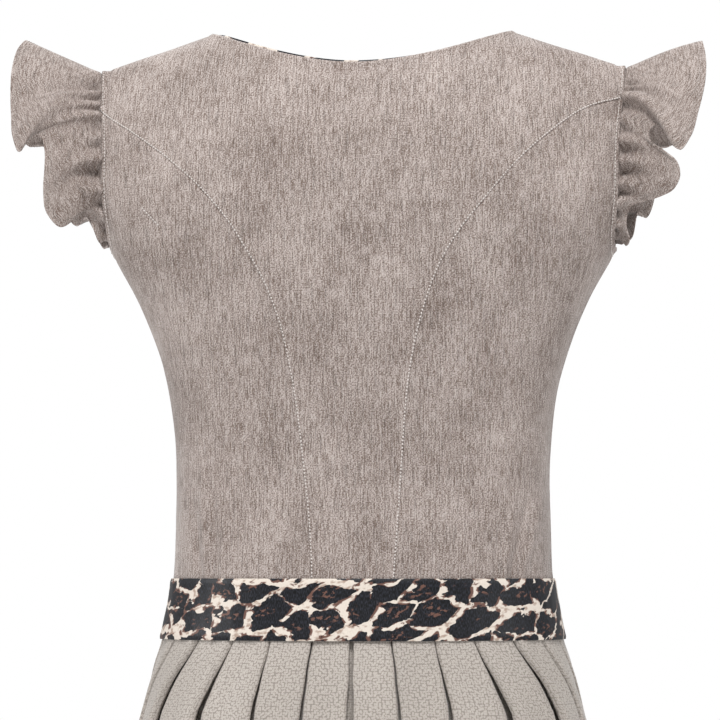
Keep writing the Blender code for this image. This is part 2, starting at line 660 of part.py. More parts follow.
def pleat_path(z):
    """Level section of the skirt's left half at one height: turns and standing out, centre back to front."""
    fold_turns = [float(smooth_curve(FOLD_HEIGHTS, fold, steady=True)(np.float64(z))) for fold in FOLDS]
    layer = float(LAYER_STEP(np.float64(z)))
    turns, outs = [], []

    def lay(turn, length, out):
        turns.append(turn + length / float(millimetres_a_degree(turn, z)))
        outs.append(out * layer)

    def underlay(turn, reach):
        """Inner layer, inner fold, returning layer and fold edge below the panel at this turn."""
        lay(turn, reach, -2.0)
        lay(turn, reach + layer / 2, -1.5)
        lay(turn, reach, -1.0)
        lay(turn, *FOLD_RETURN)
        lay(turn, *FOLD_EDGE)

    widths = []
    for turn, following in zip(fold_turns, fold_turns[1:]):
        widths.append((following - turn) * float(millimetres_a_degree((turn + following) / 2, z)))
    reaches = [min(max((PLEAT_CLOTH - width) / 2, LEAST_UNDERLAY), width - LEAST_CLEAR) for width in widths]

    lay(0.0, 0.0, -2.0)
    underlay(fold_turns[0], reaches[0])
    for i, width in enumerate(widths):
        reach = reaches[min(i + 1, len(reaches) - 1)]
        shown = max(SHOWN_SHARE * width, reaches[i] + SHOWN_PAST_UNDERLAY)
        opened = max(0.0, 1 - reaches[i] / (OPEN_FROM_SHARE * width))
        lay(fold_turns[i], 0.0, 0.0)
        lay(fold_turns[i], shown / 2, PANEL_SAG[0] + OPEN_SAG[0] * opened)
        lay(fold_turns[i], shown, PANEL_SAG[1] + OPEN_SAG[1] * opened)
        lay(fold_turns[i + 1], -1.0, -2.0)
        underlay(fold_turns[i + 1], reach)
    last = fold_turns[-1]
    for share, out in FRONT_PANEL:
        lay(last + share * (180.0 - last), 0.0, out)
    return np.array(turns), np.array(outs)


def make_skirt(material):
    sections = []
    for z in SKIRT_ROWS:
        turns, outs = pleat_path(z)
        sections.append(form_point(turns, z, outs))
    half = np.stack(sections, axis=1)
    seam = 7 + 9 * SIDE_SEAM_FOLD
    flip = np.array([-1.0, 1.0, 1.0])
    step = half[seam + 1] - half[seam]
    step *= SEAM_GAP / 2 / np.linalg.norm(step, axis=-1, keepdims=True)
    back_end, front_start = half[seam] - step, half[seam] + step
    back_half = np.concatenate([half[:seam], back_end[None]])
    front_half = np.concatenate([front_start[None], half[seam + 1 :]])
    back = np.concatenate([(back_half * flip)[:0:-1], back_half])
    front = np.concatenate([front_half, (front_half * flip)[-2::-1]])
    cloth("skirt_back", *upright(back, SKIRT_WALL), material)
    cloth("skirt_front", *upright(front, SKIRT_WALL), material)


# ---- tie, apron and bow ----


def make_band(material):
    heights = np.linspace(BAND_TOP, BAND_BOTTOM, BAND_ROWS)[None]
    back_end, front_start = BAND_JOIN - BAND_JOIN_GAP, BAND_JOIN + BAND_JOIN_GAP
    for name, start, end, count in (
        ("band_back", -back_end, back_end, BAND_BACK_COLUMNS),
        ("band_front", front_start, 360 - front_start, BAND_FRONT_COLUMNS),
    ):
        turns = np.linspace(start, end, count)[:, None]
        cloth(
            name,
            form_point(turns, heights, BAND_OUT),
            form_point(turns, heights, BAND_OUT - BAND_WALL),
            material,
        )


def apron_out(share, z):
    """How far the apron's middle stands out, at a share of its width and a height."""
    fall = np.maximum(0.0, (APRON_TOP - z) / (APRON_TOP - APRON_HEM))
    wave = APRON_WAVE_TOP + (APRON_WAVE_HEM - APRON_WAVE_TOP) * fall**APRON_WAVE_POWER
    clear = APRON_CLEAR + APRON_CLEAR_GAIN * fall
    return clear + wave * (1 - np.cos(2 * math.pi * APRON_GATHERS * share))


def apron_grid(columns, rows):
    share = np.linspace(0, 1, columns)[:, None]
    fall = np.linspace(0, 1, rows)[None] ** APRON_ROW_POWER
    z = APRON_TOP + (APRON_HEM - APRON_TOP) * fall
    edge = APRON_EDGE_TOP + (APRON_EDGE_HEM - APRON_EDGE_TOP) * fall
    turns = edge + (360 - 2 * edge) * share
    return form_point(turns, z, apron_out(share, z))


def make_apron(material):
    grid = apron_grid(APRON_GATHER_COLUMNS * APRON_GATHERS + 1, APRON_ROWS)
    cloth("apron", *upright(grid, APRON_WALL), material)


def bow_frame():
    """The bow's place and its directions: along the waist, out and up."""
    at = form_point(BOW_TURN, BOW_Z, BOW_OUT)
    along = form_point(BOW_TURN + 1, BOW_Z) - form_point(BOW_TURN - 1, BOW_Z)
    along /= np.linalg.norm(along)
    out = np.array([-along[1], along[0], 0.0])
    return at, along, out, np.array([0.0, 0.0, 1.0])


def make_bow(material):
    at, along, out, up = bow_frame()
    bm = bmesh.new()
    bmesh.ops.create_uvsphere(bm, u_segments=KNOT_SEGMENTS[0], v_segments=KNOT_SEGMENTS[1], radius=1.0)
    for vert in bm.verts:
        x, y, z = vert.co
        half_along, half_out, half_up = KNOT_HALF
        vert.co = (at + x * half_along * along + y * half_out * out + z * half_up * up) * MM
    bmesh.ops.recalc_face_normals(bm, faces=bm.faces)
    add_object("bow_knot", bm, material)

    loop = smooth_line([tuple(row) for row in LOOP], LOOP_COLUMNS)
    droop = math.tan(math.radians(LOOP_DROOP))
    heights = np.linspace(-1, 1, LOOP_ROWS)
    for name, side in (("bow_loop_left", -1), ("bow_loop_right", 1)):
        run, rise, half = loop[:, :1], loop[:, 1:2], loop[:, 2:]
        level = half * heights - run * droop
        grid = at + side * (LOOP_START + run)[..., None] * along
        grid = grid + rise[..., None] * out + level[..., None] * up
        cloth(name, *thickened(grid, BOW_WALL), material)

    down = np.linspace(0, 1, TAIL_ROWS)[None]
    width = np.linspace(-1, 1, TAIL_COLUMNS)[:, None]
    degree = float(millimetres_a_degree(BOW_TURN, BOW_Z - KNOT_HALF[2]))
    for name, side in (("bow_tail_left", -1), ("bow_tail_right", 1)):
        spread = down**0.5
        half = TAIL_HALF_TOP + TAIL_SPREAD * spread
        aside = side * (TAIL_APART + TAIL_PARTING * spread) + width * half
        under_knot = np.sqrt(1 - (aside[:, :1] * degree / KNOT_HALF[0]) ** 2)
        top = BOW_Z - TAIL_UNDER_KNOT * KNOT_HALF[2] * under_knot - SEAM_GAP
        z = top - TAIL_LENGTH * down * (1 + TAIL_SLANT * side * width)
        lift = TAIL_LIFT + TAIL_LIFT_GAIN * down**APRON_WAVE_POWER
        crests = apron_out(0.0, z) + 2 * APRON_WAVE_HEM * lift
        waves = TAIL_WAVE * np.cos(width * TAIL_BEND + side) * spread
        outs = crests + TAIL_CLEAR + waves + TAIL_TOP_OUT * (1 - down) ** 4
        turns = BOW_TURN + aside
        cloth(name, *upright(form_point(turns, z, outs), BOW_WALL), material)


def clear_scene():
    for obj in list(bpy.data.objects):
        bpy.data.objects.remove(obj, do_unlink=True)
    collection = bpy.data.collections.new("dirndl")
    bpy.context.scene.collection.children.link(collection)


def main():
    clear_scene()
    chenille, jacquard, satin = [make_cloth_material(name) for name in CLOTHS]
    make_bodice(chenille)
    make_neck_facing(satin)
    make_ruffles(chenille)
    make_skirt(jacquard)
    make_band(satin)
    make_apron(satin)
    make_bow(satin)


main()
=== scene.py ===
"""Looks of the dirndl: fine cloth shells on the frame's forms, stitching, materials and studio.

+Z is up, the front faces -Y and +X is the garment's own left. Sizes are in millimetres and
degrees unless a name says otherwise; lamps, floor and camera are placed in metres. A place on the
garment is given by its turn (0 centre back, 90 left side, 180 centre front), its height z and how
far it stands out of the dressed form.
"""

import math
from collections import namedtuple

import bmesh
import bpy
import numpy as np
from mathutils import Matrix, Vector


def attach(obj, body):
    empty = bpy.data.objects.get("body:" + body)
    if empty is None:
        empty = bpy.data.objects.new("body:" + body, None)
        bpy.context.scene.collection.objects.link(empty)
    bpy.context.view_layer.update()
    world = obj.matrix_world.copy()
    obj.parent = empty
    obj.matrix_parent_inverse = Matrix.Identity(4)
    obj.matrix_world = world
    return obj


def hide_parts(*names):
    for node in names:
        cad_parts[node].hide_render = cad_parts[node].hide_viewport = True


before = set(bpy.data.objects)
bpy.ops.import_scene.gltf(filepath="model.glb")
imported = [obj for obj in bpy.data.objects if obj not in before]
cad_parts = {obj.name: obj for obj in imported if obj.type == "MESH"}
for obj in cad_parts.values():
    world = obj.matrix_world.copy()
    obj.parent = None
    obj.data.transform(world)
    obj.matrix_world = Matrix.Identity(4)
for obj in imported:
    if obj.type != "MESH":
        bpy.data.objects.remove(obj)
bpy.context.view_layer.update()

MM = 0.001
NO_LENGTH = 1e-9  # anything shorter is taken as no length at all

# ---- walls and gaps; most walls are thinner than the solids' own ----
SEAM_GAP = 0.3
PANEL_GAP = 0.06
BODICE_WALL = 1.3
FACING_WALL = 0.7
RUFFLE_WALL = 1.2
SKIRT_WALL = 0.8
BAND_WALL = 1.2
APRON_WALL = 0.8
BOW_WALL = 0.9

# ---- bodice, as in the frame ----
NECK_HALF_WIDTH = 112.0
NECK_POINT_Z = 15.2
SHOULDER_TIP_X = 197.5
SHOULDER_SLOPE = 0.324
SHOULDER_ROUND = 150.0
BACK_NECK_Z, BACK_NECK_POWER = -15.5, 1.7
FRONT_NECK_Z, FRONT_NECK_POWER = -125.0, 2.4
WAIST_SEAM_Z = -420.0
CUP_OUT, CUP_X, CUP_Z, CUP_WIDE, CUP_HIGH = 21.0, 88.0, -215.0, 50.0, 58.0
CHART_RADIUS = 150.0
SLEEVE_ROOT_INSIDE = 1.7

Section = namedtuple("Section", "z half_width back front power")
FORM = [
    Section(-1090.0, 313.0, 262.0, 258.0, 2.00),
    Section(-930.0, 279.0, 231.0, 229.0, 2.00),
    Section(-790.0, 244.0, 198.0, 199.0, 2.00),
    Section(-650.0, 206.0, 162.0, 166.0, 2.00),
    Section(-560.0, 182.5, 138.5, 144.0, 2.00),
    Section(-500.0, 167.0, 122.5, 130.0, 2.02),
    Section(-456.0, 155.2, 110.5, 119.5, 2.05),
    Section(-440.0, 150.1, 105.8, 115.5, 2.08),
    Section(-420.0, 145.6, 101.5, 111.5, 2.12),
    Section(-392.0, 141.2, 97.5, 108.5, 2.18),
    Section(-366.0, 140.2, 95.5, 107.5, 2.25),
    Section(-321.0, 139.3, 94.0, 107.0, 2.30),
    Section(-276.0, 142.0, 96.0, 110.5, 2.30),
    Section(-246.0, 147.2, 98.5, 113.0, 2.30),
    Section(-216.0, 156.3, 100.5, 114.5, 2.30),
    Section(-186.0, 169.0, 101.5, 114.5, 2.30),
    Section(-148.0, 189.5, 101.0, 113.0, 2.30),
    Section(-110.0, 204.5, 99.5, 108.5, 2.30),
    Section(-80.0, 207.5, 97.0, 104.0, 2.30),
    Section(-40.0, 207.0, 92.5, 97.0, 2.30),
    Section(0.0, 205.5, 88.0, 91.0, 2.30),
    Section(60.0, 204.0, 84.0, 86.0, 2.30),
]

ArmholeRow = namedtuple("ArmholeRow", "short_of_side z")
ARMHOLE = [
    ArmholeRow(19.5, -35.0),
    ArmholeRow(22.5, -62.0),
    ArmholeRow(23.0, -88.0),
    ArmholeRow(21.0, -112.0),
    ArmholeRow(16.0, -132.0),
    ArmholeRow(9.0, -144.0),
    ArmholeRow(0.0, -148.0),
]

SeamRow = namedtuple("SeamRow", "z x")
BACK_SEAM_LEFT = [
    SeamRow(-420.0, 30.5),
    SeamRow(-360.0, 32.0),
    SeamRow(-302.0, 37.9),
    SeamRow(-246.0, 45.5),
    SeamRow(-205.0, 55.0),
    SeamRow(-157.0, 77.3),
    SeamRow(-131.0, 94.2),
    SeamRow(-109.0, 113.0),
    SeamRow(-87.0, 137.4),
    SeamRow(-67.5, 163.5),
]
BACK_SEAM_RIGHT = [
    SeamRow(-420.0, 30.0),
    SeamRow(-360.0, 33.0),
    SeamRow(-302.0, 36.8),
    SeamRow(-240.0, 42.9),
    SeamRow(-200.0, 52.0),
    SeamRow(-152.0, 71.8),
    SeamRow(-120.0, 95.2),
    SeamRow(-100.0, 111.3),
    SeamRow(-73.0, 136.8),
    SeamRow(-50.0, 165.2),
]
FRONT_SEAM = [
    SeamRow(-420.0, 52.0),
    SeamRow(-360.0, 57.0),
    SeamRow(-300.0, 66.0),
    SeamRow(-240.0, 80.0),
    SeamRow(-200.0, 93.0),
    SeamRow(-160.0, 114.0),
    SeamRow(-125.0, 142.0),
    SeamRow(-95.0, 172.0),
]
BACK_SEAM_TOP_LEFT, BACK_SEAM_TOP_RIGHT, FRONT_SEAM_TOP = -44.5, -37.5, -72.0

HemRow = namedtuple("HemRow", "out back z")
HEM_BACK_LEFT = [
    HemRow(256.6, -6.0, 13.0),
    HemRow(260.3, 10.0, 5.5),
    HemRow(262.0, 26.0, -9.0),
    HemRow(260.8, 42.0, -30.0),
    HemRow(258.6, 52.0, -50.0),
    HemRow(256.4, 57.0, -67.5),
    HemRow(251.8, 57.0, -78.4),
    HemRow(247.8, 51.0, -70.5),
    HemRow(243.4, 44.0, -62.5),
    HemRow(238.0, 43.0, -65.5),
    HemRow(234.2, 48.0, -75.0),
    HemRow(233.2, 53.0, -90.0),
    HemRow(233.8, 54.0, -107.0),
    HemRow(231.0, 53.0, -124.0),
    HemRow(221.0, 50.0, -134.0),
    HemRow(213.4, 45.0, -128.5),
    HemRow(209.0, 36.0, -117.0),
    HemRow(204.6, 30.0, -120.0),
    HemRow(200.4, 30.0, -132.0),
    HemRow(196.4, 26.0, -143.0),
    HemRow(195.0, 12.0, -139.5),
]
HEM_BACK_RIGHT = [
    HemRow(254.6, -6.0, 7.3),
    HemRow(257.3, 14.0, -6.9),
    HemRow(256.4, 34.0, -28.1),
    HemRow(251.4, 48.0, -51.0),
    HemRow(245.4, 55.0, -70.5),
    HemRow(237.9, 56.0, -80.6),
    HemRow(232.0, 50.0, -74.5),
    HemRow(228.5, 42.0, -65.5),
    HemRow(221.0, 37.0, -59.5),
    HemRow(215.2, 41.0, -65.0),
    HemRow(217.4, 47.0, -74.5),
    HemRow(227.4, 51.0, -81.8),
    HemRow(236.0, 53.0, -90.0),
    HemRow(237.6, 53.0, -99.5),
    HemRow(233.0, 51.0, -108.8),
    HemRow(223.0, 46.0, -114.0),
    HemRow(211.8, 41.0, -117.0),
    HemRow(202.4, 37.0, -119.8),
    HemRow(198.6, 33.0, -127.0),
    HemRow(198.4, 32.0, -136.0),
    HemRow(200.2, 30.0, -143.5),
    HemRow(198.4, 22.0, -148.0),
    HemRow(195.0, 11.0, -143.0),
]
# The same hems from the shoulder down the front, where three plain lobes finish them.
HEM_FRONT_LEFT = [
    HemRow(258.0, -22.0, 1.0),
    HemRow(262.0, -40.0, -32.0),
    HemRow(263.0, -52.0, -62.0),
    HemRow(250.0, -42.0, -63.0),
    HemRow(240.0, -30.0, -76.0),
    HemRow(237.0, -45.0, -104.0),
    HemRow(226.0, -52.0, -124.0),
    HemRow(214.0, -34.0, -120.0),
    HemRow(207.0, -28.0, -131.0),
    HemRow(201.0, -26.0, -143.0),
    HemRow(195.0, -12.0, -143.0),
]
HEM_FRONT_RIGHT = [
    HemRow(255.0, -22.0, -5.0),
    HemRow(253.0, -42.0, -33.0),
    HemRow(245.0, -54.0, -57.0),
    HemRow(230.0, -46.0, -67.0),
    HemRow(221.0, -36.0, -71.0),
    HemRow(217.5, -38.0, -86.0),
    HemRow(219.0, -48.0, -103.0),
    HemRow(213.0, -46.0, -121.0),
    HemRow(206.0, -31.0, -119.0),
    HemRow(202.0, -29.0, -137.0),
    HemRow(194.0, -13.0, -144.0),
]
RUFFLE_SEAM_STEP = 1.1
RUFFLE_SEAM_SHARE = 0.86
# Share of the back hem, from the shoulder down, and the share of the seam that it hangs from.
ROOTS_LEFT = ((0.0, 0.0), (0.40, 0.19), (0.47, 0.30), (0.75, 0.70), (0.84, 0.82), (1.0, 1.0))
ROOTS_RIGHT = ((0.0, 0.0), (0.38, 0.18), (0.50, 0.30), (0.65, 0.50), (0.80, 0.72), (1.0, 1.0))
RUFFLE_ARCH_LEFT, RUFFLE_ARCH_RIGHT = 0.0, 3.0
# How late falling cloth turns down on its way out, in full where it falls so far.
RUFFLE_FALL_LEFT, RUFFLE_FALL_RIGHT, RUFFLE_FALL_FROM = 3.2, 2.2, 30.0
RUFFLE_COLUMNS, RUFFLE_ROWS, RUFFLE_BACK_SHARE, RUFFLE_HEM_POINTS = 420, 36, 0.62, 400

# ---- skirt, as in the frame ----
HEM_Z = -1090.0
PLEAT_CLOTH = 84.0
LEAST_UNDERLAY = 8.0
LEAST_CLEAR = 8.0
SHOWN_PAST_UNDERLAY = 1.5
BEFORE_FOLD = -1.0  # where the cloth under a fold begins
LOWEST_LAYER, MIDDLE_LAYER = -2.0, -1.0  # layers of a pleat, in steps out of the dressed form
GAP_HEIGHTS, GAPS = [HEM_Z, -650.0, -540.0, -490.0, -445.0], [16.0, 9.5, 6.4, 4.2, 1.6]
FOLD_RETURN, FOLD_EDGE = (1.0, -1.0), (-1.2, -0.5)
OPEN_FROM_SHARE = 0.8
PANEL_SAG, OPEN_SAG = (-0.1, -0.3), (-0.2, -0.8)
FRONT_PANEL = ((0.0, 0.0), (0.15, -0.1), (0.4, -0.3), (0.7, -0.3), (1.0, 0.0))
FoldRow = namedtuple("FoldRow", "hem thigh hip top")
FOLDS = [
    FoldRow(2.8, 2.2, 1.35, 0.95),
    FoldRow(17.0, 16.0, 13.6, 11.2),
    FoldRow(31.5, 30.5, 27.2, 23.4),
    FoldRow(47.5, 47.5, 45.3, 35.7),
    FoldRow(63.5, 66.0, 66.0, 50.5),
    FoldRow(79.5, 81.8, 82.3, 65.0),
    FoldRow(95.0, 96.6, 96.8, 80.0),
    FoldRow(110.0, 110.0, 109.2, 95.0),
    FoldRow(125.0, 123.5, 120.5, 109.0),
]
FOLD_HEIGHTS = [HEM_Z, -680.0, -500.0, -440.0]
LAYER_HEIGHTS = [HEM_Z, -930.0, -650.0, -500.0, -440.0, WAIST_SEAM_Z]
LAYER_STEPS = [12.0, 10.0, 7.0, 5.0, 2.8, 2.1]
SKIRT_TOP = -420.3
SIDE_SEAM_FOLD = 5

# ---- waist tie, apron and bow, as in the frame ----
BAND_TOP, BAND_BOTTOM = -394.5, -439.5
BAND_OUT = 2.45
BAND_JOIN, BAND_JOIN_GAP = 121.0, 0.08
APRON_TOP, APRON_HEM = -439.8, -1040.0
APRON_EDGE_TOP, APRON_EDGE_HEM = 119.0, 131.0
APRON_GATHERS = 13
APRON_CLEAR, APRON_CLEAR_GAIN = 1.6, 2.0
APRON_WAVE_TOP, APRON_WAVE_HEM, APRON_WAVE_POWER = 0.7, 9.0, 0.8
BOW_TURN, BOW_Z, BOW_OUT = 165.0, -417.0, 14.5
KNOT_HALF = (17.0, 11.0, 24.0)
LOOP_START, LOOP_DROOP = 17.6, 8.0
TAIL_LENGTH, TAIL_SLANT = 330.0, 0.04
TAIL_HALF_TOP, TAIL_SPREAD = 2.3, 2.2
TAIL_APART, TAIL_PARTING = 2.8, 3.2
TAIL_TOP_OUT, TAIL_CLEAR, TAIL_WAVE, TAIL_BEND = 8.0, 1.0, 2.0, 2.2
TAIL_UNDER_KNOT = 0.94
TAIL_LIFT, TAIL_LIFT_GAIN = 0.26, 0.74

LoopRow = namedtuple("LoopRow", "along out half_height")
LOOP = [
    LoopRow(0.0, 1.7, 11.0),
    LoopRow(17.0, 6.5, 17.0),
    LoopRow(39.0, 11.0, 21.5),
    LoopRow(60.0, 11.0, 23.0),
    LoopRow(73.0, 5.0, 23.0),
    LoopRow(70.0, -3.0, 23.0),
    LoopRow(49.0, -6.5, 22.0),
    LoopRow(24.0, -5.0, 17.5),
    LoopRow(0.0, -1.7, 11.0),
]

# ---- finer form that only the looks have ----
Gather = namedtuple("Gather", "place high reach wide")
GATHER_GAIN = 2.8
GATHERS_LEFT = [
    Gather(0.05, 1.2, 0.50, 0.035),
    Gather(0.11, -1.8, 0.45, 0.028),
    Gather(0.155, 1.2, 0.35, 0.022),
    Gather(0.19, -1.1, 0.30, 0.018),
    Gather(0.22, 1.1, 0.35, 0.020),
    Gather(0.255, -1.0, 0.30, 0.018),
    Gather(0.29, 1.8, 0.60, 0.028),
    Gather(0.36, -1.0, 0.30, 0.035),
    Gather(0.41, 0.8, 0.30, 0.025),
    Gather(0.47, -1.4, 0.30, 0.030),
    Gather(0.54, 1.6, 0.50, 0.035),
    Gather(0.61, -2.2, 0.60, 0.040),
    Gather(0.70, 1.7, 0.50, 0.035),
    Gather(0.77, -1.4, 0.35, 0.030),
    Gather(0.83, 1.3, 0.35, 0.030),
    Gather(0.90, -1.4, 0.40, 0.030),
]
GATHERS_RIGHT = [
    Gather(0.04, 0.8, 0.40, 0.030),
    Gather(0.12, -1.4, 0.30, 0.020),
    Gather(0.165, -1.6, 0.65, 0.020),
    Gather(0.21, 1.9, 0.70, 0.030),
    Gather(0.27, -1.0, 0.40, 0.025),
    Gather(0.33, 1.2, 0.45, 0.030),
    Gather(0.40, -1.4, 0.40, 0.030),
    Gather(0.46, 1.4, 0.40, 0.030),
    Gather(0.52, -1.6, 0.35, 0.028),
    Gather(0.57, 1.2, 0.40, 0.030),
    Gather(0.63, -2.4, 0.40, 0.032),
    Gather(0.68, 1.4, 0.45, 0.030),
    Gather(0.73, -2.0, 0.55, 0.026),
    Gather(0.78, 1.6, 0.50, 0.030),
    Gather(0.83, -1.3, 0.40, 0.026),
    Gather(0.88, 1.2, 0.40, 0.030),
    Gather(0.94, -1.4, 0.35, 0.030),
]
Wrinkle = namedtuple("Wrinkle", "x z long wide high lean")
WRINKLE_GAIN = 1.8
BACK_WRINKLES = [
    Wrinkle(118.0, -372.0, 34.0, 2.6, -0.9, 0.10),
    Wrinkle(111.0, -360.0, 46.0, 3.2, 0.8, 0.08),
    Wrinkle(104.0, -368.0, 40.0, 2.4, -0.8, 0.05),
    Wrinkle(97.0, -374.0, 28.0, 2.6, 0.6, 0.02),
    Wrinkle(88.0, -380.0, 22.0, 2.8, -0.5, 0.0),
    Wrinkle(-104.0, -378.0, 24.0, 2.6, -0.8, -0.10),
    Wrinkle(-111.0, -374.0, 32.0, 2.6, 0.7, -0.14),
    Wrinkle(-119.0, -370.0, 36.0, 2.8, -0.9, -0.20),
    Wrinkle(-128.0, -366.0, 34.0, 3.0, 0.7, -0.26),
    Wrinkle(83.6, -270.0, 50.0, 2.2, -0.5, 0.20),
    Wrinkle(62.0, -255.0, 36.0, 2.2, -0.4, 0.32),
    Wrinkle(84.5, -336.0, 45.0, 2.4, -0.5, 0.12),
    Wrinkle(72.0, -322.0, 50.0, 2.2, -0.4, 0.16),
    Wrinkle(-77.0, -285.0, 45.0, 2.4, -0.45, -0.12),
    Wrinkle(-58.0, -320.0, 50.0, 2.2, -0.35, -0.08),
    Wrinkle(40.0, -384.0, 14.0, 3.0, -0.35, 0.0),
    Wrinkle(-36.0, -385.0, 14.0, 3.0, -0.3, 0.0),
]
FRONT_WRINKLES = [
    Wrinkle(108.0, -370.0, 32.0, 3.0, -0.8, 0.12),
    Wrinkle(98.0, -362.0, 40.0, 3.2, 0.7, 0.10),
    Wrinkle(-101.0, -368.0, 36.0, 3.0, -0.8, -0.10),
    Wrinkle(-110.0, -374.0, 28.0, 2.8, 0.6, -0.12),
    Wrinkle(62.0, -262.0, 26.0, 4.0, -0.6, -0.35),
    Wrinkle(-60.0, -258.0, 30.0, 4.0, -0.6, 0.35),
]

# How far the folds stray from straight, in a slow and a quick wave that start under the band.
FOLD_WOBBLE, WOBBLE_QUICK_SHARE, WOBBLE_GROWS_OVER = 0.45, 0.7, 60.0
WOBBLE_SLOW, WOBBLE_QUICK, WOBBLE_APART = 9.0, 4.3, 2.1
SKIRT_ROWS, SKIRT_ROW_POWER = 64, 1.35
# How finely each stretch of a pleat is drawn, from centre back round each fold to the front panel.
FIRST_STEPS = [2]
UNDERLAY_STEPS = [3, 3, 4, 4, 4]
SHOWN_STEPS = [10, 8, 6, 3]
FRONT_PANEL_STEPS = [10, 12, 14, 14]

GATHER_STARTS_OVER = 0.05
FRONT_GATHER_PAIRS, FRONT_GATHER_WIDE = 9, 0.03
FRONT_GATHER_PLACES, FRONT_GATHER_HEIGHTS = (0.03, 0.97), (0.5, 1.3)
FRONT_GATHER_REACHES = (0.15, 0.5)

FACING_COLUMNS, FACING_SHORTER = 97, 0.97
FACING_ABOVE, FACING_BELOW, FACING_FOLD = 1.9, 24.0, 0.8
FACING_SINKS, FACING_SINKS_FROM, FACING_SINKS_OVER = 2.5, 0.05, 0.6  # on the right of its middle
FACING_BEHIND = (2.4, 1.9, 0.75, 0.55)  # clear of the bodice's inside, from its lower edge up

BAND_ROWS, BAND_BACK_COLUMNS, BAND_FRONT_COLUMNS = 22, 400, 200
APRON_ROWS, APRON_ROW_POWER, APRON_STEPS_A_GATHER = 60, 1.15, 20
KNOT_COLUMNS, KNOT_ROWS, KNOT_TUCK = 73, 41, 84.0
KNOT_BROAD_CREASE, KNOT_FINE_CREASE = 0.05, 0.03
LOOP_COLUMNS, LOOP_ROWS = 90, 28
LOOP_CREASE, LOOP_CREASE_REACH, LOOP_CREASE_WAVES = 1.1, 26.0, 9.0
TAIL_COLUMNS, TAIL_ROWS = 22, 64

# Stitches: thread along the seams, in rows in from an edge, and one short run across a panel.
Stitch = namedtuple("Stitch", "length pitch width lift out")
TOPSTITCH = Stitch(2.0, 2.8, 0.8, 0.35, 0.25)
SEAM_STITCH = Stitch(1.5, 2.6, 1.2, 0.5, 0.4)
SHORT_RUN_STITCH = SEAM_STITCH._replace(out=0.2)
HEM_STITCH = Stitch(2.0, 2.7, 0.38, 0.2, 0.0)
STITCH_RINGS, STITCH_SIDES, STITCH_TIP = 5, 4, 0.08
STITCH_LINE_POINTS = 400
ARMHOLE_STITCH_IN, SEAM_STITCH_IN = 6.4, 1.1
ARMHOLE_POINTS, ARMHOLE_FREE = 200, 4
SLEEVE_HEM_ROWS = (2.6, 4.4, 6.2)
SHORT_RUN = ((158.0, -121.0), (144.6, -135.0))

# Pressed seams and edges: how high, how far from the line and how wide each rise or dip is.
Ridge = namedtuple("Ridge", "high centre wide")
PRESSED_RIDGE, PRESSED_DIP = Ridge(0.9, 2.0, 1.5), Ridge(0.35, 0.0, 0.6)
TOPSTITCH_DIP = Ridge(0.9, ARMHOLE_STITCH_IN, 1.2)
BAND_EDGE_DIP = Ridge(0.7, 0.0, 0.9)

# Unevenness of cloth: its height, stretch each way, size and seed, and the waves that make it.
Swell = namedtuple("Swell", "high across along size seed")
BODICE_SWELL = Swell(0.35, 1.0, 1.0, 42.0, 1)
SKIRT_SWELL, SKIRT_SWELL_RADIUS = Swell(0.5, 1.0, 1.0, 70.0, 7), 160.0
BAND_SWELLS = (Swell(0.5, 1.0, 0.6, 46.0, 8), Swell(0.25, 2.5, 1.0, 30.0, 9))
SWELL_WAVES, SWELL_ROUND, SWELL_LENGTHS = 6, 6.28, (0.7, 1.6)

# How finely lines and meshes are drawn.
NECK_POINTS, SHOULDER_POINTS, NEAR_POINTS = 100, 30, 300
SHARP_FROM = 55.0
SHARPEST_MITRE = 0.66


# ---- curves and the form ----


def steady_slopes(knots, values):
    """Slopes at the knots that never carry a curve past its values."""
    rise = np.diff(values, axis=0) / np.diff(knots).reshape((-1,) + (1,) * (values.ndim - 1))
    product = rise[:-1] * rise[1:]
    total = np.where(product > 0, rise[:-1] + rise[1:], 1.0)
    inner = np.where(product > 0, 2 * product / total, 0.0)
    return np.concatenate([rise[:1], inner, rise[-1:]])


def smooth_curve(knots, values, steady=False):
    """Function of place that runs smoothly through the values at the rising knots."""
    knots, values = np.asarray(knots, float), np.asarray(values, float)
    slopes = steady_slopes(knots, values) if steady else np.gradient(values, knots, axis=0)

    def at(place):
        place = np.clip(place, knots[0], knots[-1])
        i = np.clip(np.searchsorted(knots, place, side="right") - 1, 0, len(knots) - 2)
        span = knots[i + 1] - knots[i]
        t = (place - knots[i]) / span
        if values.ndim > 1:
            t, span = t[..., None], span[..., None]
        start = (1 + 2 * t) * (1 - t) ** 2 * values[i] + t * (1 - t) ** 2 * span * slopes[i]
        end = t * t * (3 - 2 * t) * values[i + 1] + t * t * (t - 1) * span * slopes[i + 1]
        return start + end

    return at


def run_along(points, axis=0):
    """Length of a line up to each of its points."""
    steps = np.linalg.norm(np.diff(points, axis=axis), axis=-1)
    start = np.zeros_like(np.take(steps, [0], axis=axis))
    return np.concatenate([start, steps.cumsum(axis=axis)], axis=axis)


def read_at(places, length, values):
    """The values that a line has at these lengths along it."""
    return np.stack([np.interp(places, length, column) for column in values.T], axis=-1)


def at_shares(line, shares):
    """Points of the line at these shares of its length."""
    length = run_along(line)
    return read_at(shares * length[-1], length, line)


def even(line, count):
    """The line again with this many evenly spaced points."""
    return at_shares(line, np.linspace(0, 1, count))


def smooth_line(points, count=200):
    """Dense line through the points, smooth and evenly spaced."""
    points = np.asarray(points, float)
    knots = run_along(points)
    return even(smooth_curve(knots, points)(np.linspace(0, knots[-1], count)), count)


def unit(vectors):
    """The vectors, each made one long."""
    return vectors / np.maximum(np.linalg.norm(vectors, axis=-1, keepdims=True), NO_LENGTH)


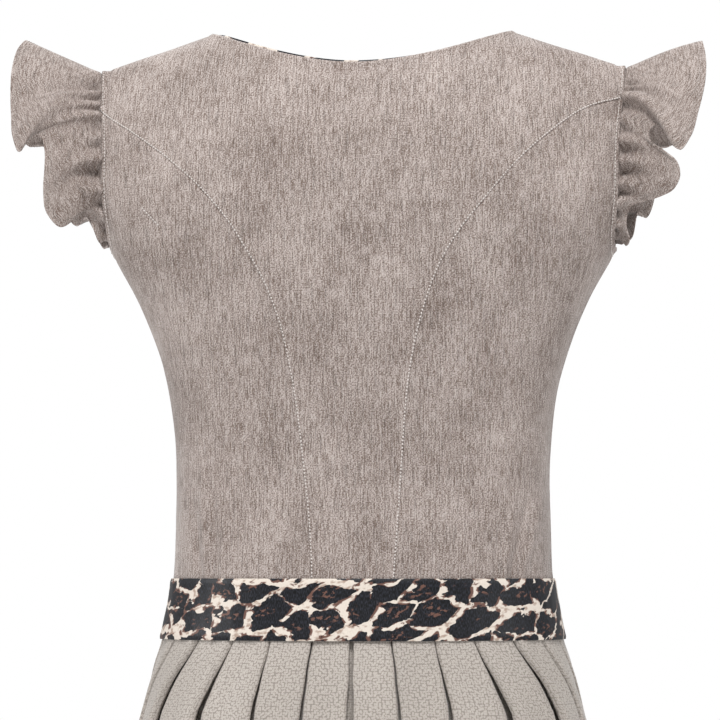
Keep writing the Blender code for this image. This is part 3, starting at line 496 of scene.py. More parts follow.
FORM_CURVE = smooth_curve([row.z for row in FORM], [row[1:] for row in FORM])
LAYER_STEP = smooth_curve(LAYER_HEIGHTS, LAYER_STEPS)
GAP_BEFORE_FOLD = smooth_curve(GAP_HEIGHTS, GAPS)
FOLD_TURNS = smooth_curve(FOLD_HEIGHTS, np.array(FOLDS).T, steady=True)


def signed_power(value, power):
    """The value to this power, with its own sign."""
    return np.sign(value) * np.abs(value) ** power


def shoulder_line(x):
    """Height of the shoulder seam at this place across."""
    return NECK_POINT_Z - SHOULDER_SLOPE * (np.abs(x) - NECK_HALF_WIDTH)


def form_point(turn, z, out=0.0):
    """Points of the dressed form at a turn and height, standing out by this much."""
    z, out = np.asarray(z, float), np.asarray(out, float)
    turn, z, out = np.broadcast_arrays(np.radians(turn), z, out)
    half_width, back, front, power = np.moveaxis(FORM_CURVE(z), -1, 0)
    across, facing = np.sin(turn), np.cos(turn)
    width_share = signed_power(across, 2 / power)
    drop = np.clip((shoulder_line(half_width * width_share) - z) / SHOULDER_ROUND, 0, 1)
    depth = np.where(facing > 0, back, front) + out
    y = depth * signed_power(facing, 2 / power) * np.sqrt(1 - (1 - drop) ** 2)
    y = y + np.sign(facing) * SEAM_GAP / 2 * (1 - drop) ** 2
    x = (half_width + out) * width_share
    aside, above = (np.abs(x) - CUP_X) / CUP_WIDE, (z - CUP_Z) / CUP_HIGH
    cup = CUP_OUT * np.exp(-(aside**2) - above**2)
    y = y - np.where(facing < 0, cup * facing**2, 0)
    return np.stack([x, y, z + out * (1 - drop) ** 2], axis=-1)


def turn_of(x, z, front=False):
    """Turn of the place that lies this far left of the centre line."""
    half_width, _, _, power = np.moveaxis(FORM_CURVE(np.asarray(z, float)), -1, 0)
    share = np.clip(np.abs(x) / half_width, 0, 1)
    turn = np.degrees(np.arcsin(share ** (power / 2)))
    turn = 180 - turn if front else turn
    return np.where(np.asarray(x) < 0, -turn, turn)


def millimetres_a_degree(turn, z):
    """How much cloth one degree of turn takes up at this place."""
    half = 0.5
    return np.linalg.norm(form_point(turn + half, z) - form_point(turn - half, z), axis=-1)


def cloth_across(turn, z, steps=24):
    """Length of cloth along the form from centre back, or from centre front past the sides."""
    origin = np.where(np.abs(turn) > 90, 180 * np.sign(turn), 0)
    share = (np.arange(steps) + 0.5) / steps
    middles = origin[..., None] + (turn - origin)[..., None] * share
    degree = millimetres_a_degree(middles, np.broadcast_to(np.asarray(z)[..., None], middles.shape))
    return np.mean(degree, axis=-1) * (turn - origin)


# ---- the chart: edges and panels laid flat, as (arc, z) ----


def chart(x, z, front=False):
    """Chart place that lies this far left of the centre line."""
    x, z = np.broadcast_arrays(np.asarray(x, float), np.asarray(z, float))
    return np.stack([np.radians(turn_of(x, z, front)) * CHART_RADIUS, z], axis=-1)


def chart_turn(points):
    """Turn of each chart place."""
    return np.degrees(points[..., 0] / CHART_RADIUS)


def from_chart(points, out):
    """Points on the garment of these chart places, standing out by this much."""
    return form_point(chart_turn(points), points[..., 1], out)


def shifted(line, distance):
    """A chart line moved sideways, to the left of its own direction."""
    tangent = unit(np.gradient(line, axis=0))
    return line + distance * np.stack([-tangent[:, 1], tangent[:, 0]], axis=1)


def armhole(front=False):
    """Chart line of the left armhole's back or front edge, from the shoulder tip down."""
    tip = chart(SHOULDER_TIP_X, shoulder_line(SHOULDER_TIP_X), front)
    side = -1 if front else 1
    turns = [90 - side * row.short_of_side for row in ARMHOLE]
    rows = [(math.radians(turn) * CHART_RADIUS, row.z) for turn, row in zip(turns, ARMHOLE)]
    return smooth_line([tip, *rows])


def split_at(line, z):
    """The two parts of a line that falls, above and below this height."""
    i = int(np.searchsorted(-line[:, 1], -z))
    share = (z - line[i - 1, 1]) / (line[i, 1] - line[i - 1, 1])
    at = line[i - 1] + share * (line[i] - line[i - 1])
    return np.vstack([line[:i], at]), np.vstack([at, line[i:]])


def princess(rows, top_z, front=False):
    """Chart line of a princess seam from the waist up to the armhole."""
    top = split_at(armhole(front), top_z)[1][0]
    points = [chart(row.x, row.z, front) for row in rows]
    return smooth_line([*points, top])


def back_neck(x):
    """Height of the back neckline at this place across."""
    share = np.abs(x) / NECK_HALF_WIDTH
    return BACK_NECK_Z + (NECK_POINT_Z - BACK_NECK_Z) * share**BACK_NECK_POWER


def back_neck_line():
    """Chart line of the back neckline, from right to left."""
    x = np.linspace(-NECK_HALF_WIDTH, NECK_HALF_WIDTH, NECK_POINTS)
    return chart(x, back_neck(x))


def front_neck_line():
    """Chart line of the left half of the front neckline, from the middle out."""
    angle = np.linspace(0, math.pi / 2, NECK_POINTS)
    x = NECK_HALF_WIDTH * np.sin(angle) ** (2 / FRONT_NECK_POWER)
    z = NECK_POINT_Z - (NECK_POINT_Z - FRONT_NECK_Z) * np.cos(angle) ** (2 / FRONT_NECK_POWER)
    return chart(x, z, front=True)


def shoulder_seam(front=False):
    """Chart line of the left shoulder seam, from the neck to the tip."""
    x = np.linspace(NECK_HALF_WIDTH, SHOULDER_TIP_X, SHOULDER_POINTS)
    return chart(x, shoulder_line(x), front)


def mirrored(line):
    """The same chart line on the garment's other side."""
    return line * np.array([-1.0, 1.0])


def joined(*pieces):
    """Lines end to end, each given with its number of stretches."""
    sampled = [even(line, count + 1) for line, count in pieces]
    return np.vstack([sampled[0], *[line[1:] for line in sampled[1:]]])


def panel(bottom, top, left, right):
    """Grid of chart points between four edges, with its left and right edges kept off the seams."""
    u = np.linspace(0, 1, len(bottom))[:, None, None]
    v = np.linspace(0, 1, len(left))[None, :, None]
    grid = (1 - v) * bottom[:, None] + v * top[:, None] + (1 - u) * left[None] + u * right[None]
    grid -= (1 - u) * (1 - v) * bottom[0] + u * (1 - v) * bottom[-1]
    grid -= (1 - u) * v * top[0] + u * v * top[-1]
    for edge, inner in ((0, 1), (-1, -2)):
        away = shifted(grid[edge], PANEL_GAP / 2) - grid[edge]
        side = np.sign(np.sum(away * (grid[inner] - grid[edge]), axis=-1, keepdims=True))
        grid[edge] = grid[edge] + side * away
    return grid


# ---- meshes ----


def grid_quads(columns, rows, start, flip):
    """Quads between the points of one grid."""
    i, j = np.meshgrid(np.arange(columns - 1), np.arange(rows - 1), indexing="ij")
    corner = (start + i * rows + j).ravel()
    quads = np.stack([corner, corner + rows, corner + rows + 1, corner + 1], axis=1)
    return quads[:, ::-1] if flip else quads


def rim_quads(columns, rows):
    """Quads that close the wall round its free edges."""
    grid = np.arange(columns * rows).reshape(columns, rows)
    loop = np.concatenate([grid[:, 0], grid[-1, 1:], grid[-2::-1, -1], grid[0, -2::-1]])
    a, b = loop[:-1], loop[1:]
    return np.stack([a, b, b + grid.size, a + grid.size], axis=1)


def mesh_object(name, points, quads, places=None):
    """Smooth mesh of these points and quads, mapped to its flat cloth if places are given."""
    mesh = bpy.data.meshes.new(name)
    mesh.from_pydata(points.tolist(), [], quads.tolist())
    bm = bmesh.new()
    bm.from_mesh(mesh)
    bmesh.ops.recalc_face_normals(bm, faces=bm.faces)
    bm.to_mesh(mesh)
    bm.free()
    mesh.shade_smooth()
    mesh.set_sharp_from_angle(angle=math.radians(SHARP_FROM))
    if places is not None:
        corners = np.zeros(len(mesh.loops), np.int32)
        mesh.loops.foreach_get("vertex_index", corners)
        layer = mesh.uv_layers.new(name="cloth")
        layer.data.foreach_set("uv", places[corners].astype(np.float32).ravel())
    obj = bpy.data.objects.new(name, mesh)
    bpy.context.scene.collection.objects.link(obj)
    return obj


def laid_flat(across, along):
    """Where each point of a grid lies on its flat cloth."""
    return np.stack(np.broadcast_arrays(across, along), axis=-1)


def shell(name, face, lining, flat_places, slot, material):
    """Thin wall between two grids of points, mapped to its flat cloth, in place of its solid."""
    columns, rows = face.shape[:2]
    points = np.vstack([face.reshape(-1, 3), lining.reshape(-1, 3)]) * MM
    quads = [
        grid_quads(columns, rows, 0, False),
        grid_quads(columns, rows, columns * rows, True),
        rim_quads(columns, rows),
    ]
    places = np.vstack([flat_places.reshape(-1, 2)] * 2) * MM
    obj = mesh_object(name, points, np.vstack(quads), places)
    obj.data.materials.append(material)
    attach(obj, "root")
    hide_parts(name)
    return obj


def sheet_of(flat_places, across=None):
    """Works out how wide a piece's flat cloth is, from its flat places unless a width is given;
    nothing is done with it.
    """
    across = across or float(np.ptp(flat_places[..., 0]))


def normals_of(grid):
    """Direction in which each point of a grid faces."""
    return unit(np.cross(np.gradient(grid, axis=0), np.gradient(grid, axis=1)))


def thickened(grid, thickness):
    """The two faces of cloth round its middle surface."""
    normal = normals_of(grid)
    return grid + normal * thickness / 2, grid - normal * thickness / 2


def upright(lines, thickness):
    """The two faces of cloth whose level sections are these lines, with mitred bends."""
    step = unit(np.diff(lines[..., :2], axis=0))
    side = np.stack([-step[..., 1], step[..., 0]], axis=-1)
    before, after = np.concatenate([side[:1], side]), np.concatenate([side, side[-1:]])
    middle = unit(before + after)
    mitre = 1 / np.maximum(np.sum(middle * before, axis=-1, keepdims=True), SHARPEST_MITRE)
    shift = np.zeros_like(lines)
    shift[..., :2] = middle * mitre * thickness / 2
    return lines + shift, lines - shift


def distance_to(points, line):
    """Distance in space from each point to the nearest place of a line."""
    flat = points.reshape(-1, 3)
    nearest = np.full(len(flat), np.inf)
    for place in even(line, NEAR_POINTS):
        nearest = np.minimum(nearest, np.sum((flat - place) ** 2, axis=1))
    return np.sqrt(nearest).reshape(points.shape[:-1])


def ridge_at(distance, ridge):
    """Height of a soft ridge at each distance from its line."""
    return ridge.high * np.exp(-(((distance - ridge.centre) / ridge.wide) ** 2))


def swelling(x, z, swell):
    """Smooth uneven relief of cloth, made of a few slanted waves."""
    x, z = x * swell.across, z * swell.along
    random = np.random.default_rng(swell.seed)
    total = np.zeros(np.broadcast(x, z).shape)
    for _ in range(SWELL_WAVES):
        angle, phase = random.uniform(0, math.pi), random.uniform(0, SWELL_ROUND)
        wave = swell.size * random.uniform(*SWELL_LENGTHS)
        slant = x * math.cos(angle) + z * math.sin(angle)
        total = total + np.sin(slant * SWELL_ROUND / wave + phase)
    return swell.high * (total / SWELL_WAVES)


# ---- bodice ----


def edge_relief(points, line, stitched=False):
    """Cloth raised beside a pressed seam or edge, turned down into it and at its topstitching."""
    distance = distance_to(points, line)
    relief = ridge_at(distance, PRESSED_RIDGE) - ridge_at(distance, PRESSED_DIP)
    return relief - (ridge_at(distance, TOPSTITCH_DIP) if stitched else 0)


def wrinkle_relief(points, wrinkles):
    """Soft upright folds at the waist and over the back."""
    x, z = points[..., 0], points[..., 2]
    total = np.zeros(x.shape)
    for w in wrinkles:
        aside = (x - w.x - w.lean * (z - w.z)) / w.wide
        up = (z - w.z) / w.long
        total += WRINKLE_GAIN * w.high * np.exp(-(aside**2)) * np.exp(-(up**4))
    return total


def flat_map(grid):
    """Where each chart place lies on its panel's flat cloth."""
    return laid_flat(cloth_across(chart_turn(grid), grid[..., 1]), grid[..., 1])


def waist(start, end, count):
    """Even steps along the waist seam or up a side seam."""
    return np.linspace(start, end, count + 1)


def make_bodice(material):
    """The seven panels, from centre back to the two fronts."""
    rows_seam, rows_arm, rows_front_arm, rows_opening = 120, 40, 80, 80
    columns_shoulder, columns_neck, columns_side, columns_front = 28, 110, 80, 60
    rows_neck = rows_seam + rows_front_arm - rows_opening
    left_seam = princess(BACK_SEAM_LEFT, BACK_SEAM_TOP_LEFT)
    right_seam = princess(BACK_SEAM_RIGHT, BACK_SEAM_TOP_RIGHT)
    front_seam = princess(FRONT_SEAM, FRONT_SEAM_TOP, front=True)
    side_low = chart(FORM_CURVE(WAIST_SEAM_Z)[0], WAIST_SEAM_Z)
    side_seam = waist(side_low, armhole()[-1], rows_seam)
    centre_front = np.array([chart(0.0, WAIST_SEAM_Z, front=True), front_neck_line()[0]])

    def centre_edge(seam, top_z, front=False):
        upper = split_at(armhole(front), top_z)[0][::-1]
        return joined((seam, rows_seam), (upper, rows_front_arm if front else rows_arm))

    def add_panel(name, grid, seams, edges, wrinkles, seed, mirror=False):
        grid = mirrored(grid) if mirror else grid
        base = from_chart(grid, 0.0)
        flat = flat_map(grid)
        relief = wrinkle_relief(base, wrinkles)
        relief += swelling(flat[..., 0], grid[..., 1], BODICE_SWELL._replace(seed=seed))
        for line, stitched in [*((seam, False) for seam in seams), *edges]:
            line = mirrored(line) if mirror else line
            relief += edge_relief(base, from_chart(line, 0.0), stitched)
        face = from_chart(grid, relief)
        lining = from_chart(grid, relief - BODICE_WALL)
        obj = shell(name, face, lining, flat, "chenille", material)
        sheet_of(flat)

    arm_back, arm_front = armhole(), armhole(front=True)
    shoulder_back, shoulder_front = shoulder_seam(), shoulder_seam(front=True)
    neck_back, neck_front = back_neck_line(), front_neck_line()

    left_edge = centre_edge(left_seam, BACK_SEAM_TOP_LEFT)
    right_edge = mirrored(centre_edge(right_seam, BACK_SEAM_TOP_RIGHT))
    top = joined(
        (mirrored(shoulder_back)[::-1], columns_shoulder),
        (neck_back, columns_neck),
        (shoulder_back, columns_shoulder),
    )
    bottom = waist(right_edge[0], left_edge[0], len(top) - 1)
    add_panel(
        "back_centre",
        panel(bottom, top, right_edge, left_edge),
        [left_seam, mirrored(right_seam), shoulder_back, mirrored(shoulder_back)],
        [(arm_back, True), (mirrored(arm_back), True), (neck_back, False)],
        BACK_WRINKLES,
        1,
    )

    for name, seam, top_z, mirror in (
        ("back_side_left", left_seam, BACK_SEAM_TOP_LEFT, False),
        ("back_side_right", right_seam, BACK_SEAM_TOP_RIGHT, True),
    ):
        lower = split_at(arm_back, top_z)[1]
        top = even(lower, columns_side + 1)
        bottom = waist(seam[0], side_low, columns_side)
        grid = panel(bottom, top, even(seam, rows_seam + 1), side_seam)
        add_panel(name, grid, [seam, side_seam], [(arm_back, True)], BACK_WRINKLES, 2, mirror)

    centre = joined((centre_front, rows_opening), (neck_front, rows_neck))
    front_edge = centre_edge(front_seam, FRONT_SEAM_TOP, front=True)
    top = even(shoulder_front, columns_front + 1)
    bottom = waist(centre_front[0], front_edge[0], columns_front)
    front_centre = panel(bottom, top, centre, front_edge)
    top = even(split_at(arm_front, FRONT_SEAM_TOP)[1], columns_side + 1)
    bottom = waist(front_seam[0], side_low, columns_side)
    front_side = panel(bottom, top, even(front_seam, rows_seam + 1), side_seam)
    opening = even(centre_front, rows_seam)
    for hand, mirror in (("left", False), ("right", True)):
        add_panel(
            f"front_centre_{hand}",
            front_centre,
            [front_seam, opening, shoulder_front],
            [(arm_front, True), (neck_front, False)],
            FRONT_WRINKLES,
            3,
            mirror,
        )
        add_panel(
            f"front_side_{hand}",
            front_side,
            [front_seam, side_seam],
            [(arm_front, True)],
            FRONT_WRINKLES,
            4,
            mirror,
        )


def make_neck_facing(material):
    """Strip inside the back neckline whose edge shows just above it."""
    line = even(back_neck_line(), FACING_COLUMNS)
    line[:, 0] *= FACING_SHORTER
    share = np.linspace(-1, 1, len(line))
    sinks = np.clip((-share - FACING_SINKS_FROM) / FACING_SINKS_OVER, 0, 1)
    shows = FACING_ABOVE - FACING_SINKS * sinks
    low = np.full(len(line), -FACING_BELOW)
    grid = np.repeat(line[:, None], len(FACING_BEHIND), axis=1)
    grid[..., 1] += np.stack([low, low / 2, shows - FACING_FOLD, shows], axis=1)
    behind = BODICE_WALL + np.array(FACING_BEHIND)
    face = from_chart(grid, -behind)
    lining = from_chart(grid, -behind - FACING_WALL)
    obj = shell("neck_facing", face, lining, flat_map(grid), "spotted_satin", material)
    sheet_of(flat_map(grid))


# ---- flutter sleeves ----


def sleeve_seam(front):
    """Line on which the left sleeve hangs, just outside the armhole's edge."""
    line = armhole(front)
    line = line[: int(len(line) * RUFFLE_SEAM_SHARE)]
    edge = from_chart(line, 0.0)
    normal = from_chart(line, 1.0) - edge
    away = unit(np.cross(np.gradient(edge, axis=0), normal))
    away *= np.sign(away[:, :1])
    return from_chart(line, -SLEEVE_ROOT_INSIDE) + away * RUFFLE_SEAM_STEP


def ruffle_grid(hem_back, hem_front, roots, arch, fall, side):
    """Middle surface of one sleeve, from the back underarm over the shoulder to the front."""
    hem = smooth_line([*hem_back[::-1], *hem_front], RUFFLE_HEM_POINTS)
    top = int(np.argmin(np.linalg.norm(hem - np.array(hem_back[0]), axis=1)))
    back = int(RUFFLE_COLUMNS * RUFFLE_BACK_SHARE)
    front = RUFFLE_COLUMNS - back
    hem = joined((hem[: top + 1], back), (hem[top:], front))
    hangs_from = np.interp(np.linspace(1, 0, back + 1), *zip(*roots))
    back_seam = at_shares(sleeve_seam(False), hangs_from)
    seam = np.vstack([back_seam, even(sleeve_seam(True), front + 1)[1:]])
    share = np.linspace(0, 1, RUFFLE_ROWS)[None, :, None]
    grid = seam[:, None] * (1 - share) + hem[:, None] * share
    reach = np.linalg.norm(hem - seam, axis=1)[:, None]
    width = reach / reach.max()
    rise = (hem - seam)[:, None, 2]
    falls = 1 + (fall - 1) * np.clip(-rise / RUFFLE_FALL_FROM, 0, 1)
    grid[..., 2] = seam[:, None, 2] + rise * share[..., 0] ** falls
    grid[..., 2] += arch * width * (4 * share * (1 - share))[..., 0]
    grid[..., 0] *= side
    return grid


def ruffle_roots(roots):
    """Each column's place on the seam: 1 at the back underarm, 0 at the shoulder, -1 in front."""
    back = int(RUFFLE_COLUMNS * RUFFLE_BACK_SHARE)
    hangs_from = np.interp(np.linspace(1, 0, back + 1), *zip(*roots))
    return np.concatenate([hangs_from, np.linspace(0, -1, RUFFLE_COLUMNS - back + 1)[1:]])


def gather_relief(roots, gathers, seed):
    """Small folds that start at the sleeve's seam and die out across it."""
    random = np.random.default_rng(seed)
    place = ruffle_roots(roots)[:, None]
    share = np.linspace(0, 1, RUFFLE_ROWS)[None]
    front = []
    for sign in (-1, 1) * FRONT_GATHER_PAIRS:
        at = -random.uniform(*FRONT_GATHER_PLACES)
        high = random.uniform(*FRONT_GATHER_HEIGHTS) * sign
        reach = random.uniform(*FRONT_GATHER_REACHES)
        front.append(Gather(at, high, reach, FRONT_GATHER_WIDE))
    total = np.zeros((len(place), RUFFLE_ROWS))
    for g in [*gathers, *front]:
        beside = np.exp(-(((place - g.place) / g.wide) ** 2))
        total += GATHER_GAIN * g.high * beside * np.exp(-((share / g.reach) ** 2))
    return total * np.clip(share / GATHER_STARTS_OVER, 0, 1)


def hem_rows(surface, outward):
    """Stitch lines that run along a sleeve's free edge, at set distances in from it."""
    from_hem, normals = surface[:, ::-1], outward[:, ::-1]
    away = run_along(from_hem, axis=1)
    runs = []
    for distance in SLEEVE_HEM_ROWS:
        long_enough = away[:, -1] > 2 * distance
        picked = [
            np.array([read_at(distance, *column) for column in zip(away, values)])[long_enough]
            for values in (from_hem, normals)
        ]
        runs.append((*picked, HEM_STITCH))
    return runs


def make_ruffles(material, thread):
    """The two sleeves with their gathers and the rows of stitches along their hems."""
    left = (HEM_BACK_LEFT, HEM_FRONT_LEFT, ROOTS_LEFT, RUFFLE_ARCH_LEFT, RUFFLE_FALL_LEFT)
    right = (HEM_BACK_RIGHT, HEM_FRONT_RIGHT, ROOTS_RIGHT, RUFFLE_ARCH_RIGHT, RUFFLE_FALL_RIGHT)
    for name, form, side, gathers, seed in (
        ("ruffle_left", left, 1, GATHERS_LEFT, 5),
        ("ruffle_right", right, -1, GATHERS_RIGHT, 6),
    ):
        grid = ruffle_grid(*form, side)
        relief = gather_relief(form[2], gathers, seed)[..., None]
        grid = grid + side * normals_of(grid) * relief
        places = laid_flat(run_along(grid, axis=1), run_along(grid[:, -1])[:, None])
        face, lining = thickened(grid, RUFFLE_WALL)
        obj = shell(name, face, lining, places, "chenille", material)
        sheet_of(places)
        outward = normals_of(grid)
        runs = hem_rows(face, outward) + hem_rows(lining, -outward)
        add_stitches(name.replace("ruffle", "stitches_ruffle"), runs, thread)


# ---- skirt ----


def pleat_path(z):
    """Turns and standing out of the skirt's left half at one height, from centre back round."""
    fold_turns = FOLD_TURNS(np.float64(z))
    order = np.arange(len(FOLDS))
    wave = np.sin(z / WOBBLE_SLOW + WOBBLE_APART * order)
    wave = wave + WOBBLE_QUICK_SHARE * np.sin(z / WOBBLE_QUICK + order)
    steadied = np.clip((SKIRT_TOP - z) / WOBBLE_GROWS_OVER, 0, 1)
    wobble = FOLD_WOBBLE * wave * steadied / millimetres_a_degree(fold_turns, z)
    fold_turns = (fold_turns + wobble).tolist()
    layer = float(LAYER_STEP(np.float64(z)))
    gap = float(GAP_BEFORE_FOLD(np.float64(z)))
    turns, outs = [], []

    def lay(turn, length, out):
        turns.append(turn + length / float(millimetres_a_degree(turn, z)))
        outs.append(out * layer)

    def underlay(turn, reach):
        lay(turn, reach, LOWEST_LAYER)
        lay(turn, reach + layer / 2, (LOWEST_LAYER + MIDDLE_LAYER) / 2)
        lay(turn, reach, MIDDLE_LAYER)
        lay(turn, *FOLD_RETURN)
        lay(turn, *FOLD_EDGE)

    widths = []
    for turn, following in zip(fold_turns, fold_turns[1:]):
        degree = float(millimetres_a_degree((turn + following) / 2, z))
        widths.append((following - turn) * degree)
    wanted = [max((PLEAT_CLOTH - width) / 2, LEAST_UNDERLAY) for width in widths]
    reaches = [min(reach, width - LEAST_CLEAR) for reach, width in zip(wanted, widths)]

    lay(0.0, 0.0, (LOWEST_LAYER + MIDDLE_LAYER) / 2)
    underlay(fold_turns[0], reaches[0])
    for i, width in enumerate(widths):
        shown = max(width - gap, reaches[i] + SHOWN_PAST_UNDERLAY)
        opened = max(0.0, 1 - reaches[i] / (OPEN_FROM_SHARE * width))
        lay(fold_turns[i], 0.0, 0.0)
        lay(fold_turns[i], shown / 2, PANEL_SAG[0] + OPEN_SAG[0] * opened)
        lay(fold_turns[i], shown, PANEL_SAG[1] + OPEN_SAG[1] * opened)
        lay(fold_turns[i + 1], BEFORE_FOLD, LOWEST_LAYER)
        underlay(fold_turns[i + 1], reaches[min(i + 1, len(reaches) - 1)])
    last = fold_turns[-1]
    for share, out in FRONT_PANEL:
        lay(last + share * (180.0 - last), 0.0, out)
    return np.array(turns), np.array(outs)


def skirt_half():
    """The skirt's left half as a grid, its places on flat cloth, and the side seam's column."""
    pleats = len(FOLDS) - 1
    pleat_steps = SHOWN_STEPS + UNDERLAY_STEPS
    first_fold, side_fold = len(UNDERLAY_STEPS) + 1, SIDE_SEAM_FOLD
    steps = FIRST_STEPS + UNDERLAY_STEPS + pleat_steps * pleats + FRONT_PANEL_STEPS
    knots = np.concatenate([[0.0], *[i + np.arange(1, n + 1) / n for i, n in enumerate(steps)]])
    owner = np.clip(((knots - 1) // len(pleat_steps)).astype(int), 0, pleats)
    fold_knots = first_fold + len(pleat_steps) * np.arange(len(FOLDS))
    rows = SKIRT_TOP + (HEM_Z - SKIRT_TOP) * np.linspace(0, 1, SKIRT_ROWS) ** SKIRT_ROW_POWER
    sections, places = [], []
    for z in rows:
        turns, outs = pleat_path(z)
        points = form_point(turns, z, outs)
        length = run_along(points)
        at = np.interp(knots, np.arange(len(length)), length)
        sections.append(smooth_curve(length, points, steady=True)(at))
        across = at - length[fold_knots][owner] + PLEAT_CLOTH * owner
        places.append(laid_flat(across, z))
    seam_knot = first_fold + 1 + len(pleat_steps) * side_fold
    return np.stack(sections, axis=1), np.stack(places, axis=1), sum(steps[:seam_knot])


def both_sides(half, flip, from_middle):
    """A half and its mirror image as one grid, which runs from right to left, or left to right."""
    if from_middle:
        return np.concatenate([(half * flip)[:0:-1], half])
    return np.concatenate([half, (half * flip)[-2::-1]])


def make_skirt(material):
    """The back and front of the pleated skirt, parted at the side seams."""
    half, places, seam = skirt_half()
    relief = swelling(places[..., 0], places[..., 1], SKIRT_SWELL)
    half[..., :2] *= 1 + relief[..., None] / SKIRT_SWELL_RADIUS
    step = SEAM_GAP / 2 * unit(half[seam + 1] - half[seam])
    back_half = np.concatenate([half[:seam], (half[seam] - step)[None]])
    front_half = np.concatenate([(half[seam] + step)[None], half[seam + 1 :]])
    for name, shape, flat, from_middle in (
        ("skirt_back", back_half, places[: seam + 1], True),
        ("skirt_front", front_half, places[seam:], False),
    ):
        grid = both_sides(shape, np.array([-1.0, 1.0, 1.0]), from_middle)
        flat = both_sides(flat, np.array([-1.0, 1.0]), from_middle)
        obj = shell(name, *upright(grid, SKIRT_WALL), flat, "jacquard", material)
        sheet_of(flat, float(run_along(grid[:, -1])[-1]))


# ---- tie, apron and bow ----


def make_band(material):
    """The waist tie's back and front, butted past the sides."""
    heights = np.linspace(BAND_TOP, BAND_BOTTOM, BAND_ROWS)[None]
    edge = np.minimum(BAND_TOP - heights, heights - BAND_BOTTOM)
    back_end, front_start = BAND_JOIN - BAND_JOIN_GAP, BAND_JOIN + BAND_JOIN_GAP
    for name, start, end, count, on in (
        ("band_back", -back_end, back_end, BAND_BACK_COLUMNS, "back_centre"),
        ("band_front", front_start, 360 - front_start, BAND_FRONT_COLUMNS, "front_centre_left"),
    ):
        turns = np.linspace(start, end, count)[:, None]
        run = run_along(form_point(turns, heights))
        flat = laid_flat(run - run[-1] / 2, heights)
        relief = sum(swelling(flat[..., 0], heights, swell) for swell in BAND_SWELLS)
        relief = relief - ridge_at(edge, BAND_EDGE_DIP)
        face = form_point(turns, heights, BAND_OUT + relief)
        lining = form_point(turns, heights, BAND_OUT - BAND_WALL)
        obj = shell(name, face, lining, flat, "spotted_satin", material)
        sheet_of(flat)


def apron_out(share, z):
    """How far the apron's middle stands out, at a share of its width and a height."""
    fall = np.maximum(0.0, (APRON_TOP - z) / (APRON_TOP - APRON_HEM))
    wave = APRON_WAVE_TOP + (APRON_WAVE_HEM - APRON_WAVE_TOP) * fall**APRON_WAVE_POWER
    clear = APRON_CLEAR + APRON_CLEAR_GAIN * fall
    return clear + wave * (1 - np.cos(2 * math.pi * APRON_GATHERS * share))


def make_apron(material):
    """Gathered apron over the skirt's front."""
    share = np.linspace(0, 1, APRON_STEPS_A_GATHER * APRON_GATHERS + 1)[:, None]
    fall = np.linspace(0, 1, APRON_ROWS)[None] ** APRON_ROW_POWER
    z = APRON_TOP + (APRON_HEM - APRON_TOP) * fall
    edge = APRON_EDGE_TOP + (APRON_EDGE_HEM - APRON_EDGE_TOP) * fall
    turns = edge + (360 - 2 * edge) * share
    grid = form_point(turns, z, apron_out(share, z))
    flat = laid_flat(run_along(grid[:, -1])[:, None], z)
    obj = shell("apron", *upright(grid, APRON_WALL), flat, "spotted_satin", material)
    sheet_of(flat)


def bow_frame():
    """The bow's middle, and its directions along the tie, outwards and up."""
    at = form_point(BOW_TURN, BOW_Z, BOW_OUT)
    along = unit(form_point(BOW_TURN + 1, BOW_Z) - form_point(BOW_TURN - 1, BOW_Z))
    out = np.array([-along[1], along[0], 0.0])
    return at, along, out, np.array([0.0, 0.0, 1.0])


def make_knot(material):
    """Band of cloth wrapped round the middle of the bow, its ends tucked in above and below."""
    at, along, out, up = bow_frame()
    angle = np.linspace(0, 2 * math.pi, KNOT_COLUMNS)[:, None]
    tilt = np.radians(np.linspace(-KNOT_TUCK, KNOT_TUCK, KNOT_ROWS))[None]
    broad = KNOT_BROAD_CREASE * np.sin(7 * tilt + 1.3 * np.sin(angle))
    creases = broad + KNOT_FINE_CREASE * np.sin(15 * tilt + angle)
    grids = []
    for inner in (0.0, BOW_WALL):
        reach = np.cos(tilt) * (1 + creases)
        half_along, half_out, half_up = [half - inner for half in KNOT_HALF]
        grid = at + (half_along * reach * np.cos(angle))[..., None] * along
        grid = grid + (half_out * reach * np.sin(angle))[..., None] * out
        grids.append(grid + (half_up * np.sin(tilt) + 0 * angle)[..., None] * up)
    flat = laid_flat(angle * KNOT_HALF[0], tilt * KNOT_HALF[2])
    obj = shell("bow_knot", *grids, flat, "spotted_satin", material)
    sheet_of(flat)


def make_loops(material):
    """The bow's two loops, creased where they go into the knot."""
    at, along, out, up = bow_frame()
    loop = smooth_line([tuple(row) for row in LOOP], LOOP_COLUMNS)
    run, rise, half = loop[:, :1], loop[:, 1:2], loop[:, 2:]
    droop = math.tan(math.radians(LOOP_DROOP))
    heights = np.linspace(-1, 1, LOOP_ROWS)
    flat = laid_flat(run_along(loop[:, :2])[:, None], half * heights)
    level = half * heights - run * droop
    for name, side in (("bow_loop_left", -1), ("bow_loop_right", 1)):
        crease = LOOP_CREASE * np.exp(-run / LOOP_CREASE_REACH)
        crease = crease * np.sin(heights * LOOP_CREASE_WAVES + side)
        grid = at + side * (LOOP_START + run + 0 * level)[..., None] * along
        grid = grid + (rise + crease * np.sign(rise))[..., None] * out + level[..., None] * up
        obj = shell(name, *thickened(grid, BOW_WALL), flat, "spotted_satin", material)
        sheet_of(flat)


